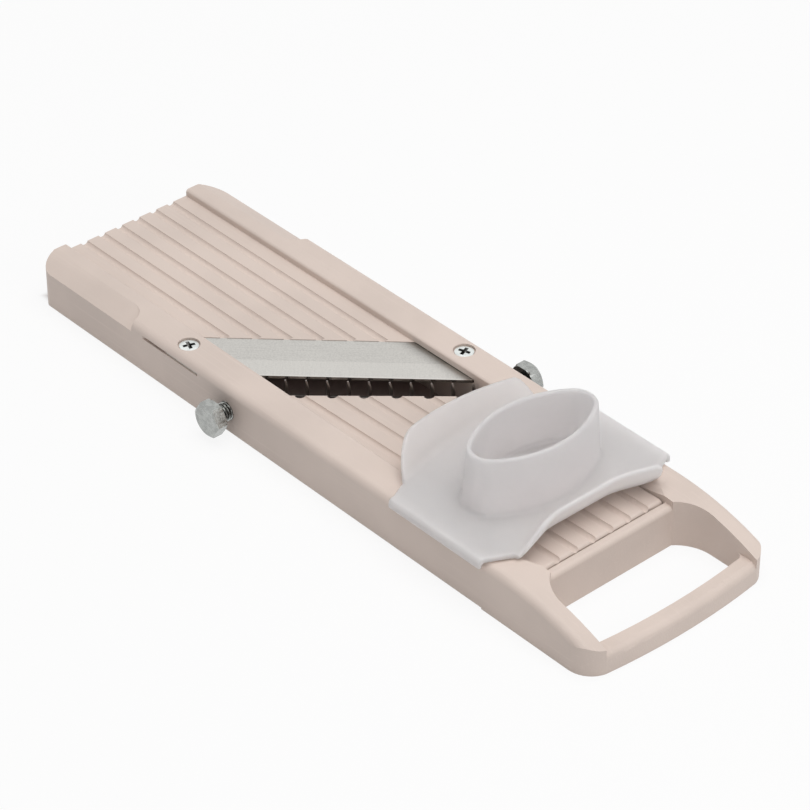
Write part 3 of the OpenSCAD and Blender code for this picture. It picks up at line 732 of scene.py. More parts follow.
@dataclass
class Mouldings:
    """The body and the feed plate, whose solids keep their form and get moulded edges."""

    body_edge: float = 0.0005
    plate_edge: float = 0.0003
    channel_half: float = 0.031
    channel_edge: float = 0.0013
    rail_top: float = 0.021
    finish: MouldedPlastic = MouldedPlastic("body_plastic_finish", (0.66, 0.56, 0.50))

    def _beside_channel(self, edge: bmesh.types.BMEdge) -> bool:
        """Whether an edge is one of the two along the rail tops, beside the food's channel."""
        return all(
            abs(abs(vert.co.y) - self.channel_half) < PLACE_GAP and vert.co.z > self.rail_top - PLACE_GAP
            for vert in edge.verts
        )

    def build(self) -> list[bpy.types.Object]:
        """Makes the softened copies.

        Returns:
            The body shell and the feed plate.
        """
        material = self.finish.make()
        shell = softened(
            "frame", "body_shell", material, self.body_edge, self._beside_channel, self.channel_edge
        )
        plate = softened("feed_plate", "feed_plate_moulding", material, self.plate_edge)
        for piece, node in ((shell, "frame"), (plate, "feed_plate")):
            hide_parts(node)
        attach(shell, "frame")
        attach(plate, "feed_plate")
        return [shell, plate]


@dataclass
class FingerGuard:
    """The sliding guard: a plate with side skirts, two upturned lips, grip pips and an oval cup."""

    plate: float = 0.0025
    tail_reach: float = 0.046
    tail_foot: float = 0.0347
    arc: float = 0.100
    half_width: float = 0.0487
    skirt: float = 0.0018
    skirt_tail: float = 0.0237
    skirt_front: float = 0.0256
    skirt_drop: float = 0.0045
    shoulder_round: float = 0.0020
    corner_reach: float = 0.0304
    corner_half: float = 0.0374
    lip: float = 0.0022
    lip_rise: float = 0.0088
    lip_bend: float = 0.0045
    lip_rows: int = 90
    least_reach: float = 0.0003
    least_rise: float = 0.0002
    bite: float = 0.005
    tail_lean: float = 0.0090
    tail_fade: float = 0.0200
    tail_near: float = 0.0373
    tail_far: float = 0.0335
    tail_corner: float = 0.0040
    front_lean: float = 0.0041
    front_foot: float = 0.0266
    front_swing: float = 0.0052
    front_bow: float = 0.0130
    front_near: float = 0.0360
    front_fade: float = 0.0130
    front_far: float = 0.0357
    front_corner: float = 0.0060
    cup_height: float = 0.024
    cup_shift: float = 0.0015
    cup_spread: float = 0.021
    cup_end: float = 0.009
    cup_side: float = 0.0443
    cup_wall: float = 0.0020
    cup_draft: float = 0.0014
    cup_foot: float = 0.0017
    voxel: float = 0.0006
    finish: MilkyPlastic = MilkyPlastic("guard_finish", (0.985, 0.935, 0.93))

    def __post_init__(self) -> None:
        """Takes the guard's place from its solid."""
        low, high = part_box("finger_guard")
        self.middle = low.x + self.tail_reach
        self.foot_z = low.z
        self.top_z = high.z - self.cup_height
        self.mid_z = self.top_z - self.plate / 2

    def front_foot_at(self, y: float) -> float:
        """Place along X of the handle lip's foot, which swings out towards both ends."""
        swing = eased((abs(y) - self.front_bow) / (self.front_far - self.front_bow))
        return self.middle + self.front_foot + self.front_swing * swing

    def front_height(self, y: float) -> float:
        """Share of the handle lip's full height, which fades out on the near side."""
        if y < 0:
            return eased((self.front_near + y) / self.front_fade)
        return self._rounded_end(y, self.front_far, self.front_corner)

    def tail_height(self, y: float) -> float:
        """Share of the tail lip's full height, which falls in a long curve on the near side."""
        if y < 0:
            share = max(0.0, (-y - self.tail_fade) / (self.tail_near - self.tail_fade))
            return max(0.0, 1 - share * share)
        return self._rounded_end(y, self.tail_far, self.tail_corner)

    @staticmethod
    def _rounded_end(y: float, end: float, length: float) -> float:
        """Share of a lip's height near its end, falling over a quarter ellipse."""
        over = max(0.0, abs(y) - (end - length)) / length
        return math.sqrt(max(0.0, 1 - min(1.0, over) ** 2))

    def _flange_loop(self, foot: Vector, out: Vector, reach: float, rise: float) -> Loop:
        """Section of a lip at one place: it leaves the plate, bends up and ends in a round rim.

        Args:
            foot: Where the lip's straight part would meet the plate's middle plane.
            out: Unit vector that points away from the plate.
            reach: How far out the rim stands.
            rise: How far up the rim stands.

        Returns:
            The closed section.
        """
        up, steps = Vector((0, 0, 1)), 7
        lean = Vector((reach, rise)).normalized()
        bend = min(self.lip_bend, 0.8 * math.hypot(reach, rise))
        path = [Vector((-self.bite, 0.0))]
        for i in range(steps + 1):
            t = i / steps
            start, end = Vector((-bend, 0.0)), lean * bend
            path.append(start * (1 - t) ** 2 + end * t * t)
        path.append(Vector((reach, rise)))
        half = self.lip / 2
        above, below = [], []
        for i, point in enumerate(path):
            ahead = path[min(i + 1, len(path) - 1)] - path[max(i - 1, 0)]
            ahead.normalize()
            normal = Vector((-ahead.y, ahead.x))
            above.append(point + normal * half)
            below.append(point - normal * half)
        tip = path[-1]
        ahead = (path[-1] - path[-2]).normalized()
        normal = Vector((-ahead.y, ahead.x))
        cap = [
            tip + normal * half * math.cos(a) + ahead * half * math.sin(a)
            for a in (math.pi * k / 6 for k in range(1, 6))
        ]
        return [foot + out * p.x + up * p.y for p in above + cap + list(reversed(below))]

    def tail_foot_at(self, y: float) -> float:
        """Place along X of the curved tail edge."""
        return self.middle - self.tail_foot + self.arc - math.sqrt(self.arc**2 - y * y)

    def _lip(
        self, bm: bmesh.types.BMesh, low: float, high: float, foot: Callable[[float], float],
        height: Callable[[float], float], lean: float,
    ) -> None:
        """One upturned lip.

        Args:
            bm: The mesh that gets it.
            low: Where it starts along Y.
            high: Where it ends.
            foot: Place of its foot along X, at a Y.
            height: Share of its full height, at a Y.
            lean: How far it leans out at full height, negative towards the tail.
        """
        out = Vector((math.copysign(1.0, lean), 0, 0))
        full = self.lip_rise + self.plate / 2 - self.lip / 2
        rows = self.lip_rows
        loops = []
        for i in range(rows + 1):
            y = low + (high - low) * (1 - math.cos(math.pi * i / rows)) / 2
            share = height(y)
            reach, rise = max(self.least_reach, abs(lean) * share), self.least_rise + full * share
            loops.append(self._flange_loop(Vector((foot(y), y, self.mid_z)), out, reach, rise))
        loft(bm, loops)

    def _plate(self, bm: bmesh.types.BMesh) -> None:
        """The flat plate, inside the skirts' rounded shoulders."""
        side = self.half_width - self.shoulder_round
        outline = [(self.tail_foot_at(side * (i / 20 - 1)), side * (i / 20 - 1)) for i in range(41)]
        skirt_end, corner = self.middle + self.skirt_front, self.middle + self.corner_reach
        outline += [(skirt_end, side), (corner, self.corner_half)]
        for i in range(31):
            y = (self.front_far - 0.001) * (1 - i / 15)
            outline.append((self.front_foot_at(y), y))
        outline += [(corner, -self.corner_half), (skirt_end, -side)]
        prism(bm, outline, self.top_z - self.plate, self.top_z)

    def _skirt(self, bm: bmesh.types.BMesh, side: Side) -> None:
        """One side skirt with its rounded shoulder."""
        outer, round_off = self.half_width, self.shoulder_round
        under, inner, foot = self.top_z - self.plate, outer - self.skirt, self.top_z - self.skirt_drop
        section = [(outer - self.bite, under), (inner, under), (inner, foot), (outer, foot)]
        for k in range(7):
            angle = math.pi / 2 * k / 6
            across, up = round_off * math.cos(angle), round_off * math.sin(angle)
            section.append((outer - round_off + across, self.top_z - round_off + up))
        section.append((outer - self.bite, self.top_z))
        ends = (self.middle - self.skirt_tail, self.middle + self.skirt_front)
        loft(bm, [[Vector((x, side.value * y, z)) for y, z in section] for x in ends])

    def _oval(self, grow: float, z: float) -> Loop:
        """The cup's outline of four arcs, grown sideways, at one height."""
        centre = math.sqrt((self.cup_side - self.cup_end) ** 2 - self.cup_spread**2)
        join = math.atan2(self.cup_spread, centre)
        centre_x = self.middle + self.cup_shift
        loop = []
        arcs = (
            (-centre, 0.0, self.cup_side, -join, join),
            (0.0, self.cup_spread, self.cup_end, join, math.pi - join),
            (centre, 0.0, self.cup_side, math.pi - join, math.pi + join),
            (0.0, -self.cup_spread, self.cup_end, math.pi + join, TURN - join),
        )
        for x, y, radius, start, end in arcs:
            for k in range(24):
                angle, reach = start + (end - start) * k / 24, radius + grow
                loop.append(Vector((centre_x + x + reach * math.cos(angle), y + reach * math.sin(angle), z)))
        return loop

    def _cup(self, bm: bmesh.types.BMesh) -> None:
        """The open grip cup, filleted at its foot and rounded at its rim."""
        rim = self.top_z + self.cup_height
        foot, half = self.cup_foot, self.cup_wall / 2
        loops = [self._oval(self.cup_draft + foot, self.mid_z)]
        for k in range(7):
            angle = math.pi / 2 * k / 6
            grow = self.cup_draft + foot * (1 - math.sin(angle))
            loops.append(self._oval(grow, self.top_z + foot * (1 - math.cos(angle))))
        for k in range(7):
            angle = math.pi * k / 6
            loops.append(self._oval(half * (math.cos(angle) - 1), rim - half + half * math.sin(angle)))
        inner, inner_foot = self.cup_draft - self.cup_wall, foot * 0.7
        for k in range(6):
            angle = math.pi / 2 * k / 5
            grow = inner - inner_foot * (1 - math.cos(angle))
            loops.append(self._oval(grow, self.top_z + inner_foot * (1 - math.sin(angle))))
        loft(bm, loops)

    def _pips(self, bm: bmesh.types.BMesh) -> None:
        """The blunt pips under the plate that hold the food."""
        rings = ((0.0013, self.mid_z), (0.0012, self.top_z - self.plate), (0.0006, self.foot_z))
        for x in (-0.012, 0.0, 0.012):
            for y in (-0.020, -0.010, 0.0, 0.010, 0.020):
                loft(bm, [circle(radius, z, 12, self.middle + x, y) for radius, z in rings])

    def build(self) -> bpy.types.Object:
        """Makes the guard as one moulding.

        Returns:
            The finished guard.
        """
        bm = bmesh.new()
        self._plate(bm)
        self._skirt(bm, Side.NEAR)
        self._skirt(bm, Side.FAR)
        self._lip(bm, -self.tail_near, self.tail_far, self.tail_foot_at, self.tail_height, -self.tail_lean)
        self._lip(
            bm, -self.front_near, self.front_far, self.front_foot_at, self.front_height, self.front_lean
        )
        self._cup(bm)
        self._pips(bm)
        guard = finished("finger_guard_moulding", outward(bm), self.finish.make(), 180.0)
        merge = guard.modifiers.new("merge", "REMESH")
        merge.mode = "VOXEL"
        merge.voxel_size = self.voxel
        merge.use_smooth_shade = True
        ease = guard.modifiers.new("ease", "SMOOTH")
        ease.factor = 0.5
        ease.iterations = 5
        baked(guard)
        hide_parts("finger_guard")
        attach(guard, "finger_guard")
        return guard


@dataclass(frozen=True)
class Fastener:
    """One kind of threaded fastener, drawn along +Z and then placed."""

    major: float
    depth: float
    pitch: float

    def threaded(self, piece: bpy.types.Object, tree: ShapeBook, low: float, high: float) -> bpy.types.Object:
        """Adds the thread between two heights.

        Args:
            piece: The head and plain parts.
            tree: The thread's Geometry Nodes tree.
            low: Where the thread starts.
            high: Where it ends.

        Returns:
            The same piece with its thread.
        """
        tree.apply(
            piece, Low=low, High=high, Major=self.major, Minor=self.major - self.depth, Pitch=self.pitch,
            Finish=piece.data.materials[0],
        )
        # Painted shade: the faces at the thread's roots are marked to darken.
        root = self.major - self.depth * 0.55
        return recess_shaded(piece, lambda at: low < at.z < high and math.hypot(at.x, at.y) < root)


def stood(piece: bpy.types.Object, at: Vector, turn: Matrix | None = None) -> bpy.types.Object:
    """Turns a piece's mesh and moves it to its place, with its object left at the origin."""
    move = Matrix.Translation(at) @ (turn.to_4x4() if turn else Matrix.Identity(4))
    piece.data.transform(move)
    piece.data.update()
    return piece


@dataclass
class SideBolts:
    """The two hex-head bolts that clamp the comb's ends."""

    flats: float = 0.013
    head: float = 0.0053
    tip: float = 0.0025
    tip_length: float = 0.0028
    thread: Fastener = Fastener(0.00395, 0.0007, 0.00125)

    def _hex(self, angle: float) -> float:
        """Distance from the axis to the hexagon's edge at an angle."""
        return self.flats / 2 / math.cos(angle % (TURN / 6) - TURN / 12)

    def _head(self, bm: bmesh.types.BMesh, foot: float) -> None:
        """The chamfered head with its shallow dished face."""
        sides, bite = 96, 0.00025
        flat, top = self.flats / 2, foot + self.head
        angles = [TURN * k / sides for k in range(sides)]

        def ring(radius: Callable[[float], float], height: Callable[[float], float]) -> Loop:
            """A ring whose radius and height follow the angle."""
            return [Vector((radius(a) * math.cos(a), radius(a) * math.sin(a), height(a))) for a in angles]

        loft(bm, [
            ring(lambda a: min(self._hex(a), flat * 1.04), lambda a: foot),
            ring(self._hex, lambda a: foot + bite + (self._hex(a) - flat) * 0.2),
            ring(self._hex, lambda a: top - 0.0002 - (self._hex(a) - flat) * 0.62),
            ring(lambda a: flat * 0.93, lambda a: top),
            ring(lambda a: flat * 0.80, lambda a: top - bite * 0.2),
            ring(lambda a: flat * 0.70, lambda a: top - bite),
            ring(lambda a: flat * 0.30, lambda a: top - bite),
        ])

    def build(self, side: Side, material: bpy.types.Material, tree: ShapeBook) -> bpy.types.Object:
        """Makes one bolt.

        Args:
            side: Which wall it stands in.
            material: Its finish.
            tree: The thread's tree.

        Returns:
            The bolt.
        """
        word = side.name.lower()
        low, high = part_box(f"clamp_bolt_{word}")
        centre = (low + high) / 2
        near_end = min(abs(low.y), abs(high.y))
        foot = max(abs(low.y), abs(high.y)) - self.head
        bm = bmesh.new()
        self._head(bm, foot)
        chamfer, overlap = 0.0004, 0.0002
        rings = [
            (self.tip - chamfer, near_end), (self.tip, near_end + chamfer),
            (self.tip, near_end + self.tip_length + overlap),
        ]
        loft(bm, [circle(radius, z) for radius, z in rings])
        bolt = finished(f"side_bolt_{word}", outward(bm), material, 28.0)
        self.thread.threaded(bolt, tree, near_end + self.tip_length, foot + overlap / 2)
        turn = Matrix.Rotation(-side.value * math.pi / 2, 3, "X")
        stood(bolt, Vector((centre.x, 0, centre.z)), turn)
        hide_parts(f"clamp_bolt_{word}")
        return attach(bolt, f"clamp_bolt_{word}")


@dataclass
class CrossHeadScrews:
    """The countersunk blade screws and the pan-head screws of the adjuster's bridge."""

    dome: float = 0.00022
    rim: float = 0.00035
    slot_top: float = 0.00150
    slot_foot: float = 0.00075
    slot_depth: float = 0.0015
    blade_thread: Fastener = Fastener(0.0020, 0.00038, 0.0007)
    blade_head: float = 0.0020
    ring_gap: float = 0.10
    bridge_thread: Fastener = Fastener(0.00175, 0.0004, 0.0008)
    bridge_head: float = 0.0023
    blade_recess: float = 0.66
    bridge_recess: float = 0.62
    rim_shade_from: float = 0.945
    cross_shade_within: float = 0.7
    turned: float = 0.35

    def _recess(self, radius: float, top: float, down: float) -> bmesh.types.BMesh:
        """The cross that a driver fits, tapering inwards.

        Args:
            radius: Half the recess's span.
            top: Height of the head's face.
            down: 1 if the recess goes down from the face, -1 if it goes up.

        Returns:
            The cutting solid.
        """
        bm = bmesh.new()
        for turn in (0.0, math.pi / 2):
            spin = Matrix.Rotation(turn, 3, "Z")
            loops = []
            for share in (-0.3, 0.0, 0.7, 1.0):
                reach = radius * (1 - 0.45 * max(0.0, share)) if share < 1 else radius * 0.25
                half = (self.slot_top + (self.slot_foot - self.slot_top) * max(0.0, share)) / 2
                z = top - down * self.slot_depth * share
                corners = ((-reach, -half), (reach, -half), (reach, half), (-reach, half))
                loops.append([spin @ Vector((x, y, z)) for x, y in corners])
            loft(bm, loops)
        return outward(bm)

    def _cut(self, piece: bpy.types.Object, cutter: bmesh.types.BMesh) -> bpy.types.Object:
        """Cuts a solid out of a piece and removes the cutter."""
        tool = finished("cutter", cutter, piece.data.materials[0])
        cut = piece.modifiers.new("recess", "BOOLEAN")
        cut.operation = "DIFFERENCE"
        cut.solver = "EXACT"
        cut.use_self = True
        cut.object = tool
        baked(piece)
        bpy.data.objects.remove(tool)
        return piece

    def blade_screw(self, side: Side, material: bpy.types.Material, tree: ShapeBook) -> bpy.types.Object:
        """Makes one blade screw, with its face up.

        Args:
            side: Which rail it stands in.
            material: Its finish.
            tree: The thread's tree.

        Returns:
            The screw.
        """
        word = side.name.lower()
        low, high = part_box(f"blade_screw_{word}")
        radius = (high.x - low.x) / 2
        top, major = high.z - self.dome, self.blade_thread.major
        neck, rim = top - self.blade_head, top - self.rim
        rings = [
            circle(major - 0.0003, neck - 0.0002), circle(major, neck + 0.0001),
            circle(radius - 0.00012, rim - 0.0001), circle(radius, rim + 0.00005),
        ]
        for k in range(6):
            angle, inset = math.pi / 2 * k / 6, 1 - self.ring_gap * (k > 0)
            rings.append(circle(radius * inset * math.cos(angle), top + self.dome * math.sin(angle)))
        bm = bmesh.new()
        loft(bm, rings)
        screw = finished(f"blade_screw_head_{word}", outward(bm), material, 30.0)
        self._cut(screw, self._recess(radius * self.blade_recess, top + self.dome, 1))

        def in_painted_shade(at: Vector) -> bool:
            """Whether a place is on the rim ring or in the cross, where shade is painted."""
            out = math.hypot(at.x, at.y) / radius
            in_cross = top - self.slot_depth * 1.2 < at.z < top + self.dome * 0.6
            return out > self.rim_shade_from or (out < self.cross_shade_within and in_cross)

        # Painted shade: a dark ring round the head's rim and a dark cross recess.
        recess_shaded(screw, in_painted_shade)
        self.blade_thread.threaded(screw, tree, low.z, neck - 0.0001)
        screw.data.set_sharp_from_angle(angle=math.radians(30))
        centre = Vector(((low.x + high.x) / 2, (low.y + high.y) / 2, 0))
        stood(screw, centre, Matrix.Rotation(self.turned * side.value, 3, "Z"))
        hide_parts(f"blade_screw_{word}")
        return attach(screw, "frame")

    def bridge_screws(
        self, material: bpy.types.Material, tree: ShapeBook, row: ShapeBook
    ) -> bpy.types.Object:
        """Makes the two screws under the bridge as one piece.

        Args:
            material: Their finish.
            tree: The thread's tree.
            row: The tree that repeats a piece.

        Returns:
            The pair.
        """
        low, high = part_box("bridge_screws")
        radius = (high.x - low.x) / 2
        apart = high.y - low.y - 2 * radius
        foot, seat = low.z, low.z + self.bridge_head
        pan = ((0.45, 0.0), (0.72, 0.06), (0.9, 0.25), (1, 0.6), (1, 1))
        rings = [circle(radius * out, foot + up * self.bridge_head) for out, up in pan]
        rings.append(circle(self.bridge_thread.major, seat + 0.0001))
        bm = bmesh.new()
        loft(bm, rings)
        pair = finished("bridge_screw_pair", outward(bm), material, 30.0)
        self._cut(pair, self._recess(radius * self.bridge_recess, foot, -1))
        self.bridge_thread.threaded(pair, tree, seat, high.z)
        row.apply(pair, Count=2, First=(0.0, -apart / 2, 0.0), Step=(0.0, apart, 0.0), Finish=material)
        stood(pair, Vector(((low.x + high.x) / 2, 0, 0)))
        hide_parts("bridge_screws")
        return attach(pair, "frame")


@dataclass
class CombBlade:
    """The upright teeth in the throat, on their slanted strip."""

    slant: float = BLADE_SLANT
    sheet: float = 0.001
    strip: float = 0.008
    pitch: float = 0.00584
    count: int = 11
    tooth: float = 0.0020
    tooth_thickness: float = 0.0008
    hone: float = 0.0009
    edge: float = 0.00006

    def _tooth(self, foot: float, top: float) -> bmesh.types.BMesh:
        """One tooth with a ground leading edge and a raked tip."""
        back, front, half = -self.tooth / 2, self.tooth / 2, self.tooth_thickness / 2
        bm = bmesh.new()
        loops = []
        for share, reach in ((0.0, 1.0), (0.62, 1.0), (0.86, 0.45), (1.0, -0.55)):
            z = foot + (top - foot) * share
            tip = back + (front - back) * (reach + 1) / 2
            shoulder = max(back + 0.0002, tip - self.hone)
            loops.append([
                Vector((back, -half, z)), Vector((shoulder, -half, z)), Vector((tip, 0, z)),
                Vector((shoulder, half, z)), Vector((back, half, z)),
            ])
        loft(bm, loops)
        return outward(bm)

    def build(self, material: bpy.types.Material, row: ShapeBook) -> bpy.types.Object:
        """Makes the comb.

        Args:
            material: Its finish.
            row: The tree that repeats the teeth.

        Returns:
            The comb.
        """
        low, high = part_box("comb_blade")
        centre_x = (low.x + high.x) / 2
        teeth = finished("comb", self._tooth(low.z + self.strip - 0.001, high.z), material, 25.0)
        first = -(self.count - 1) / 2
        step = Vector((math.tan(self.slant) * self.pitch, self.pitch, 0))
        row.apply(teeth, Count=self.count, First=tuple(step * first), Step=tuple(step), Finish=material)
        half_run = self.sheet / 2 / math.cos(self.slant)
        bm = bmesh.new()
        bm.from_mesh(teeth.data)
        outline = [
            (y * math.tan(self.slant) + run * half_run, y)
            for y, run in ((low.y, -1), (low.y, 1), (high.y, 1), (high.y, -1))
        ]
        prism(bm, outline, low.z, low.z + self.strip)
        bm.to_mesh(teeth.data)
        bm.free()
        soften = teeth.modifiers.new("edges", "BEVEL")
        soften.width = self.edge
        soften.limit_method = "ANGLE"
        baked(teeth)
        stood(teeth, Vector((centre_x, 0, 0)))
        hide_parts("comb_blade")
        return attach(teeth, "frame")


@dataclass
class Thumbscrew:
    """The moulded knob under the feed plate and its threaded stud."""

    scallops: int = 14
    scallop_depth: float = 0.0011
    edge: float = 0.0007
    recess: float = 0.0018
    recess_radius: float = 0.0062
    floor: float = 0.0004
    head: float = 0.001
    head_radius: float = 0.00455
    tip_radius: float = 0.0020
    tip_length: float = 0.0016
    thread: Fastener = Fastener(0.00295, 0.0005, 0.001)

    def _knob(self, material: bpy.types.Material) -> bpy.types.Object:
        """The knob, scalloped for the fingers."""
        low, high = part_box("thumbscrew_knob")
        radius, sides = (high.x - low.x) / 2, self.scallops * 16
        height = high.z - low.z

        def rim(inset: float, z: float) -> Loop:
            """The scalloped outline at one height."""
            loop = []
            for k in range(sides):
                angle = TURN * k / sides
                wave = max(0.0, math.cos(self.scallops * angle)) ** 1.5
                reach = radius - inset - self.scallop_depth * wave
                loop.append(Vector((reach * math.cos(angle), reach * math.sin(angle), z)))
            return loop

        edge = self.edge
        loops = [rim(radius * 0.4, 0.0), rim(edge, 0.0), rim(edge * 0.3, edge * 0.3), rim(0.0, edge)]
        loops += [rim(0.0, height - edge), rim(edge * 0.3, height - edge * 0.3), rim(edge, height)]
        for reach, z in (
            (self.recess_radius + 0.0003, height), (self.recess_radius, height - 0.0003),
            (self.recess_radius, height - self.recess), (self.thread.major, height - self.recess),
            (self.thread.major, self.floor + self.head), (self.head_radius, self.floor + self.head),
            (self.head_radius, self.floor),
        ):
            loops.append(circle(reach, z, sides))
        bm = bmesh.new()
        loft(bm, loops)
        knob = finished("thumbscrew_grip", outward(bm), material, 40.0)
        return stood(knob, Vector(((low.x + high.x) / 2, 0, low.z)))

    def _stud(self, material: bpy.types.Material, tree: ShapeBook) -> bpy.types.Object:
        """The stud with its moulded-in head and plain tip."""
        low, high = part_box("thumbscrew_stud")
        bm = bmesh.new()
        loft(bm, [circle(self.head_radius, low.z), circle(self.head_radius, low.z + self.head)])
        tip_foot, chamfer = high.z - self.tip_length, 0.0003
        rings = [
            (self.tip_radius, tip_foot - 0.0004), (self.tip_radius, high.z - chamfer),
            (self.tip_radius - chamfer, high.z),
        ]
        loft(bm, [circle(radius, z) for radius, z in rings])
        stud = finished("thumbscrew_thread", outward(bm), material, 30.0)
        self.thread.threaded(stud, tree, low.z + self.head - 0.0001, tip_foot)
        return stood(stud, Vector(((low.x + high.x) / 2, 0, 0)))

    def build(
        self, plastic: bpy.types.Material, metal: bpy.types.Material, tree: ShapeBook
    ) -> list[bpy.types.Object]:
        """Makes both pieces.

        Args:
            plastic: The knob's finish.
            metal: The stud's finish.
            tree: The thread's tree.

        Returns:
            The knob and the stud.
        """
        knob, stud = self._knob(plastic), self._stud(metal, tree)
        for piece, node, slot in (
            (knob, "thumbscrew_knob", "knob_plastic"), (stud, "thumbscrew_stud", "plated_steel")
        ):
            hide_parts(node)
            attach(piece, "thumbscrew")
        return [knob, stud]


@dataclass
class PlainPieces:
    """The solids whose shape is right as it stands, which only get their finish."""

    ground: float = 0.0104
    edge_from_comb: float = 0.0042

    def cutting_edge(self) -> float:
        """Place of the blade's cutting edge along X, on the middle line of the body."""
        low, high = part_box("comb_blade")
        return (low.x + high.x) / 2 - self.edge_from_comb

    def dress(self, materials: dict[str, bpy.types.Material]) -> list[str]:
        """Assigns finishes to the CAD nodes that stay.

        Args:
            materials: The finish of each node.

        Returns:
            The names of the nodes dressed.
        """
        for node, material in materials.items():
            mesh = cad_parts[node].data
            mesh.materials.clear()
            mesh.materials.append(material)
        return list(materials)


# ---- Studio ----


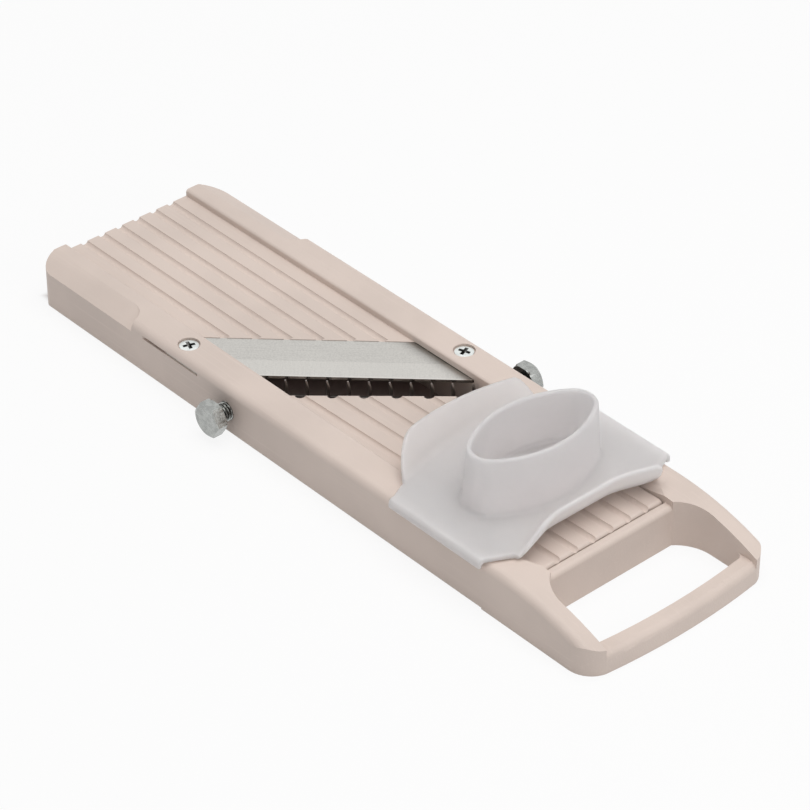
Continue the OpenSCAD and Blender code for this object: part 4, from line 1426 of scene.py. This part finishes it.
@dataclass
class Studio:
    """A white cove, soft light from above and the camera."""

    white: Colour = (1.0, 1.0, 1.0)
    ambient: Colour = (0.40, 0.40, 0.405)
    floor_tone: Colour = (0.80, 0.80, 0.80)
    floor_size: float = 3.0
    floor_share: float = 0.88
    shade_tone: Colour = (0.42, 0.32, 0.29)
    shade_tail: float = -0.166
    shade_handle: float = 0.122
    shade_side: float = 0.0455
    shade_edge: float = 0.006
    azimuth: float = math.radians(48.19)
    elevation: float = math.radians(35.93)
    roll: float = math.radians(0.13)
    target: tuple[float, float, float] = (0.0021, 0.0074, 0.010)
    distance: float = 1.295
    lens: float = 148.8
    sensor: float = 36.0

    @staticmethod
    def _seen(book: NodeBook) -> Wire:
        """1 for rays from the camera, a reflection or a transmission, and 0 for light."""
        rays = [
            book.node("ShaderNodeLightPath", output=name)
            for name in ("Is Camera Ray", "Is Glossy Ray", "Is Transmission Ray")
        ]
        return rays[0].most(rays[1]).most(rays[2])

    @staticmethod
    def _blend(book: NodeBook, factor: Wire, first: Wire, second: Wire) -> Wire:
        """Mixes two shaders."""
        return book.node("ShaderNodeMixShader", None, {"Fac": factor, "Shader": first, "Shader_001": second})

    def _world(self) -> None:
        """White to the eye, and softer as a source of light."""
        world = bpy.data.worlds.new("cove")
        world.use_nodes = True
        book = NodeBook(world.node_tree)
        shown = book.node("ShaderNodeBackground", None, {"Color": self.white, "Strength": 1.0})
        lit = book.node("ShaderNodeBackground", None, {"Color": self.ambient, "Strength": 1.0})
        mix = self._blend(book, self._seen(book), lit, shown)
        end = book.tree.nodes.new("ShaderNodeOutputWorld")
        book.feed(end.inputs["Surface"], mix)
        bpy.context.scene.world = world

    def _open(self, book: FinishBook) -> Wire:
        """1 on the open floor and 0 in the deep shade under the closed part of the body."""
        along, across = book.axis(book.place, "X"), book.axis(book.place, "Y").size()
        edge = self.shade_edge
        beside = across.ramp(self.shade_side - edge, self.shade_side)
        tail = 1 - along.ramp(self.shade_tail, self.shade_tail + edge)
        handle = along.ramp(self.shade_handle - edge, self.shade_handle)
        return beside.most(tail).most(handle)

    def _floor(self) -> None:
        """The pale floor, mostly its own white so that only the shadow shows."""
        book = FinishBook("floor_finish")
        clear = self._open(book)
        book.set(Base_Color=book.mixed(clear, self.shade_tone, self.floor_tone), Roughness=0.9)
        glow = book.node("ShaderNodeEmission", None, {"Color": self.white, "Strength": 1.0})
        matt = Wire(book, book.shader.outputs["BSDF"])
        mix = self._blend(book, self._seen(book) * clear * self.floor_share, matt, glow)
        book.feed(book.outlet.inputs["Surface"], mix)
        bm = bmesh.new()
        bmesh.ops.create_grid(bm, x_segments=2, y_segments=2, size=self.floor_size)
        floor = finished("floor", bm, book.material)

    def _lamp(self, name: str, place: Sequence[float], size: float, power: float, tint: Colour) -> None:
        """Adds a soft square lamp that points at the body.

        Args:
            name: The lamp's name.
            place: Where it stands.
            size: Length of its side.
            power: Its strength, in watts.
            tint: Its colour.
        """
        light = bpy.data.lights.new(name, "AREA")
        light.shape = "SQUARE"
        light.size = size
        light.energy = power
        light.color = tint
        lamp = bpy.data.objects.new(name, light)
        lamp.location = place
        lamp.rotation_euler = (Vector(self.target) - Vector(place)).to_track_quat("-Z", "Y").to_euler()
        bpy.context.scene.collection.objects.link(lamp)

    def _camera(self) -> None:
        """Stands the camera on its bearing from the target."""
        flat, rise = math.cos(self.elevation), math.sin(self.elevation)
        back = Vector((math.sin(self.azimuth) * flat, -math.cos(self.azimuth) * flat, rise))
        right = Vector((math.cos(self.azimuth), math.sin(self.azimuth), 0))
        up = back.cross(right)
        turn = Matrix((right, up, back)).transposed() @ Matrix.Rotation(self.roll, 3, "Z")
        data = bpy.data.cameras.new("camera")
        data.lens = self.lens
        data.sensor_width = self.sensor
        camera = bpy.data.objects.new("camera", data)
        camera.matrix_world = Matrix.Translation(Vector(self.target) + back * self.distance) @ turn.to_4x4()
        bpy.context.scene.collection.objects.link(camera)
        bpy.context.scene.camera = camera

    def build(self) -> None:
        """Sets up floor, light, camera and the plain colour transform."""
        self._world()
        self._floor()
        self._lamp("sky_box", (0.12, 0.08, 1.5), 1.3, 14.5, (1.0, 0.99, 0.98))
        self._lamp("handle_fill", (1.35, 0.10, 0.8), 0.8, 3.8, (1.0, 1.0, 1.0))
        self._camera()
        bpy.context.scene.view_settings.view_transform = "Standard"


def main() -> None:
    """Builds the sub-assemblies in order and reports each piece."""
    logging.basicConfig(level=logging.INFO, format="%(message)s")
    Studio().build()
    plain, past_the_body = PlainPieces(), 1.0
    blade_steel = GroundSteel(
        "blade_finish", (0.585, 0.57, 0.54), plain.cutting_edge(), BLADE_SLANT, plain.ground
    ).make()
    comb_steel = GroundSteel(
        "comb_finish", (0.26, 0.235, 0.22), past_the_body, BLADE_SLANT, plain.ground
    ).make()
    plated = BrightMetal("plated_finish", (0.42, 0.43, 0.415), roughness=0.24, dulling=0.80).make()
    screw_zinc = BrightMetal("screw_finish", (0.76, 0.79, 0.77), roughness=0.3, dulling=0.88).make()
    brass = BrightMetal("brass_finish", (0.72, 0.53, 0.25), grime_and_shade=(0.25, 0.17, 0.08)).make()
    knob_plastic = MouldedPlastic("knob_finish", (0.60, 0.51, 0.45), roughness=0.48).make()
    threads, rows = thread_tree(), row_tree()
    pieces = Mouldings().build()
    pieces.append(FingerGuard().build())
    bolts, screws = SideBolts(), CrossHeadScrews()
    for side in Side:
        pieces.append(bolts.build(side, plated, threads))
        pieces.append(screws.blade_screw(side, screw_zinc, threads))
    pieces.append(screws.bridge_screws(screw_zinc, threads, rows))
    pieces.append(CombBlade().build(comb_steel, rows))
    pieces += Thumbscrew().build(knob_plastic, plated, threads)
    dressed = plain.dress({
        "main_blade": blade_steel, "hinge_pin": comb_steel, "adjuster_bridge": comb_steel,
        "adjuster_pad": plated, "blade_insert_near": brass, "blade_insert_far": brass,
        "bolt_bush_near": brass, "bolt_bush_far": brass, "bridge_bush": brass,
    })
    for piece in pieces:
        log.info("%s: %d faces", piece.name, len(piece.data.polygons))
    log.info("finished as they are: %s", ", ".join(dressed))


if __name__ == "__main__":
    main()
